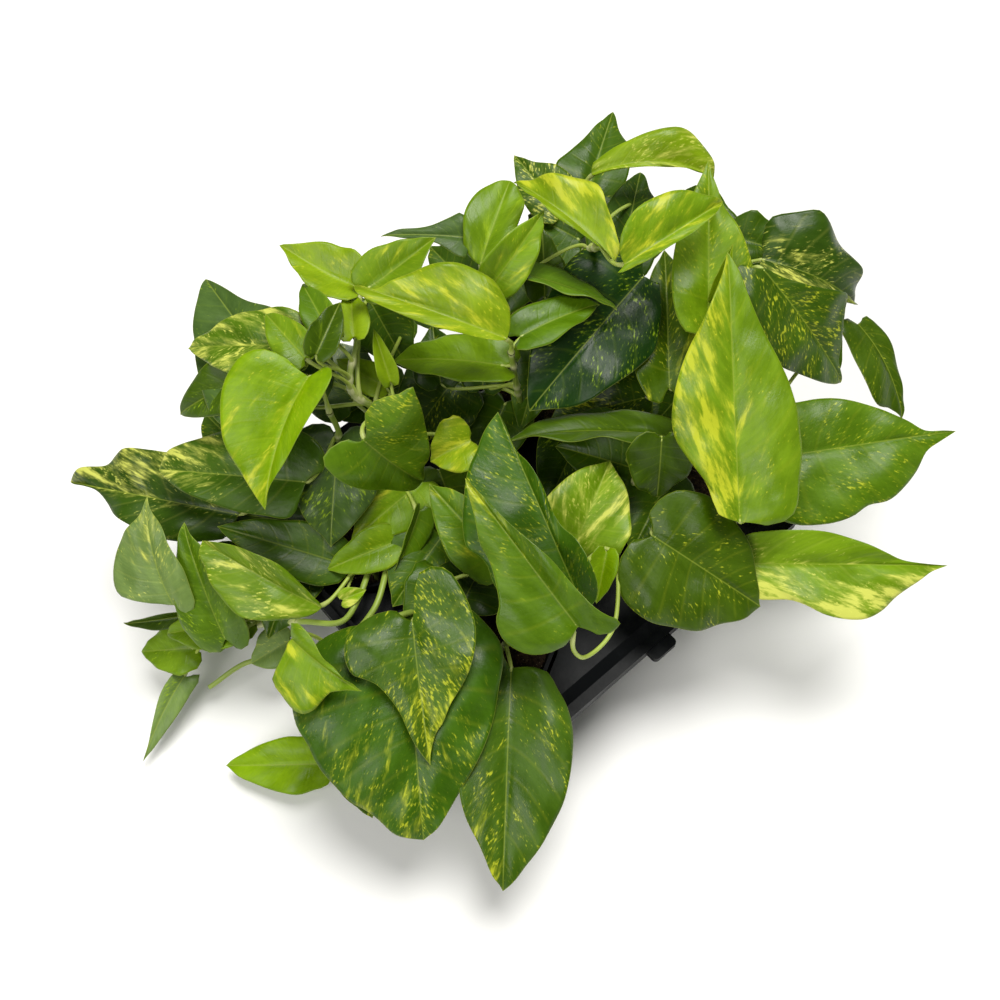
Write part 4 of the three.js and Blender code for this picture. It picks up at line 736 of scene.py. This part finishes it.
def add_tube(skin, line, radii, tones, sides):
    """A round tube with open ends along a line of points, with a radius and a colour at each."""
    ahead = np.gradient(line, axis=0)
    ahead /= np.linalg.norm(ahead, axis=1, keepdims=True)
    side = np.cross(ahead[0], (0.3, 0.5, 0.81))
    turn = np.linspace(0, 2 * math.pi, sides, endpoint=False)[:, None]
    rings = []
    for here, direction, radius in zip(line, ahead, radii):
        side = side - direction * side.dot(direction)
        side /= np.linalg.norm(side)
        rings.append(here + radius * (np.cos(turn) * side + np.sin(turn) * np.cross(direction, side)))
    grid = np.arange(len(line) * sides).reshape(len(line), sides)
    turned = np.roll(grid, -1, axis=1)
    quads = np.stack([grid[:-1], turned[:-1], turned[1:], grid[1:]], -1).reshape(-1, 4)
    around = np.tile(np.abs(np.linspace(-1, 1, sides)), len(line))
    blade = np.column_stack([around, np.repeat(run_along(line) / STREAK, sides)])
    skin.add(np.concatenate(rings), quads, STALK, blade, blade, np.repeat(tones, sides, axis=0))


def add_stem(skin, stem, shares):
    """A stem from inside the soil to its end, with a pale swollen joint where each stalk leaves it."""
    line = curve_points(stem)
    run = run_along(line)
    total = run[-1]
    even = np.linspace(0, total, max(FEWEST_RINGS, int(total / STEM_STEP)))
    even_line = np.column_stack([np.interp(even, run, line[:, i]) for i in range(3)])
    joint = np.max([hump(even, share * total, JOINT_REACH) for share in shares], axis=0)
    green, pale = np.array(linear(STEM_GREEN)), np.array(linear(JOINT_PALE))
    radii = STEM_RADIUS - STEM_TAPER * even / total + STEM_JOINT * joint
    tones = green + (pale - green) * joint[:, None]
    root = np.array([[*stem[0][:2], z] for z in np.linspace(ROOT_Z, stem[0][2] - 1, ROOT_RINGS)])
    # The part inside the soil gets 0.7 of the stem's green: painted shade where the stem goes into the soil.
    add_tube(skin, np.concatenate([root, even_line]), np.concatenate([np.full(ROOT_RINGS, STEM_RADIUS), radii]),
             np.concatenate([np.tile(green * 0.7, (ROOT_RINGS, 1)), tones]), STEM_SIDES)
    return lambda share: np.array([np.interp(share * total, run, line[:, i]) for i in range(3)])


def add_stalk(skin, start, leaf, midrib):
    """A leaf stalk, wider at its sheath and at the knee under the blade."""
    point, forward, up, _ = midrib.at(0.0)
    reach = np.linalg.norm(point - start)
    over = np.array(BENT_OVER.get(leaf.name, start + (0, 0, 0.4 * reach)), float)
    swing = min(0.25 * reach, SWING)
    arrive = point - swing * forward - swing * up
    end = point + 3 * forward - 0.8 * up
    if leaf.name in LOOPS:
        line = curve_points([start, *LOOPS[leaf.name], end], 6)
    else:
        t = np.linspace(0, 1, STALK_RINGS)[:, None]
        line = (1 - t) ** 3 * start + 3 * (1 - t) ** 2 * t * over + 3 * (1 - t) * t ** 2 * arrive + t ** 3 * end
    t = np.linspace(0, 1, len(line))
    radii = STALK_RADIUS + SHEATH * hump(t, 0, 0.12) + KNEE * hump(t, KNEE_AT, 0.06) - NECK * (t > NECK_FROM)
    size = 0.75 + 0.25 * min(1, leaf.width / 50)
    green, pale = np.array(linear(STALK_GREEN)), np.array(linear(KNEE_PALE))
    share = (hump(t, 0, 0.1) + 0.6 * hump(t, KNEE_AT, 0.07)).clip(0, 1)[:, None]
    add_tube(skin, line, radii * size, green + (pale - green) * share, STALK_SIDES)


foliage = [leaf_look("leaf_upper_face", False), leaf_look("leaf_under_face", True), stalk_look()]
for vine, (stem, rows) in VINES.items():
    skin = Skin()
    leaves = [Leaf(*row) for row in rows]
    stem_point = add_stem(skin, stem, [leaf.share for leaf in leaves])
    for leaf in leaves:
        add_stalk(skin, stem_point(leaf.share), leaf, add_blade(skin, leaf))
    piece = skin.built(f"foliage_{vine}", foliage)
    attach(piece, "root")
    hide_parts(f"vine_{vine}")

# -------- tray, pots and soil

looks = {"tray": plastic_look("tray_plastic", "0b0d0e", 0.46, 0.006),
         "pot": plastic_look("pot_plastic", "0c0d0e", 0.48, 0.008), "soil": soil_look()}
for name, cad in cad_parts.items():
    kind = name.split("_")[0]
    if kind in looks:
        cad.data.materials.clear()
        cad.data.materials.append(looks[kind])

# -------- floor, light and camera

FLOOR_HALF, FLOOR_DROP = 6, 0.0005  # the floor lies just under the tray
AIM = Vector((0, 0, 0.1))  # where the lights point
LIGHTS = (("key", (-0.2, 0.7, 3.0), 1.6, 92), ("fill", (0.6, -2.2, 2.4), 2.0, 55))  # place, size, power
LIGHT_COLOUR, SKY_COLOUR, SKY_STRENGTH = (1.0, 0.985, 0.95), (1.0, 1.0, 0.97, 1), 0.2
AZIMUTH, ELEVATION, ROLL, FIELD = (math.radians(degrees) for degrees in (50.3, 60, -1.5, 50))
TARGET, DISTANCE = Vector((-0.0085, -0.011, 0.088)), 0.739

floor_mesh = bpy.data.meshes.new("floor")
floor_mesh.from_pydata([(x * FLOOR_HALF, y * FLOOR_HALF, 0) for x, y in ((-1, -1), (1, -1), (1, 1), (-1, 1))],
                       [], [(0, 1, 2, 3)])
floor_mesh.materials.append(Look("pale_floor", Base_Color=(0.92, 0.92, 0.91, 1), Roughness=0.8).material)
floor = bpy.data.objects.new("floor", floor_mesh)
floor.location.z = -FLOOR_DROP
bpy.context.collection.objects.link(floor)

for name, place, size, power in LIGHTS:
    light = bpy.data.lights.new(name, "AREA")
    light.shape, light.size, light.energy, light.color = "DISK", size, power, LIGHT_COLOUR
    lamp = bpy.data.objects.new(name, light)
    lamp.location = place
    lamp.rotation_euler = (AIM - Vector(place)).to_track_quat("-Z", "Y").to_euler()
    bpy.context.collection.objects.link(lamp)
world = bpy.data.worlds.new("studio")
world.use_nodes = True
sky = world.node_tree.nodes["Background"]
sky.inputs[0].default_value, sky.inputs[1].default_value = SKY_COLOUR, SKY_STRENGTH
bpy.context.scene.world = world
bpy.context.scene.view_settings.view_transform = "Standard"

lens = bpy.data.cameras.new("camera")
lens.angle = FIELD
lens.clip_start = 0.02
back = Vector((math.sin(AZIMUTH) * math.cos(ELEVATION), -math.cos(AZIMUTH) * math.cos(ELEVATION),
               math.sin(ELEVATION)))
level = Vector((0, 0, 1)).cross(back).normalized()
steep = back.cross(level)
right = level * math.cos(ROLL) + steep * math.sin(ROLL)
upward = steep * math.cos(ROLL) - level * math.sin(ROLL)
camera = bpy.data.objects.new("camera", lens)
camera.matrix_world = Matrix((right, upward, back)).transposed().to_4x4()
camera.location = TARGET + back * DISTANCE
bpy.context.collection.objects.link(camera)
bpy.context.scene.camera = camera
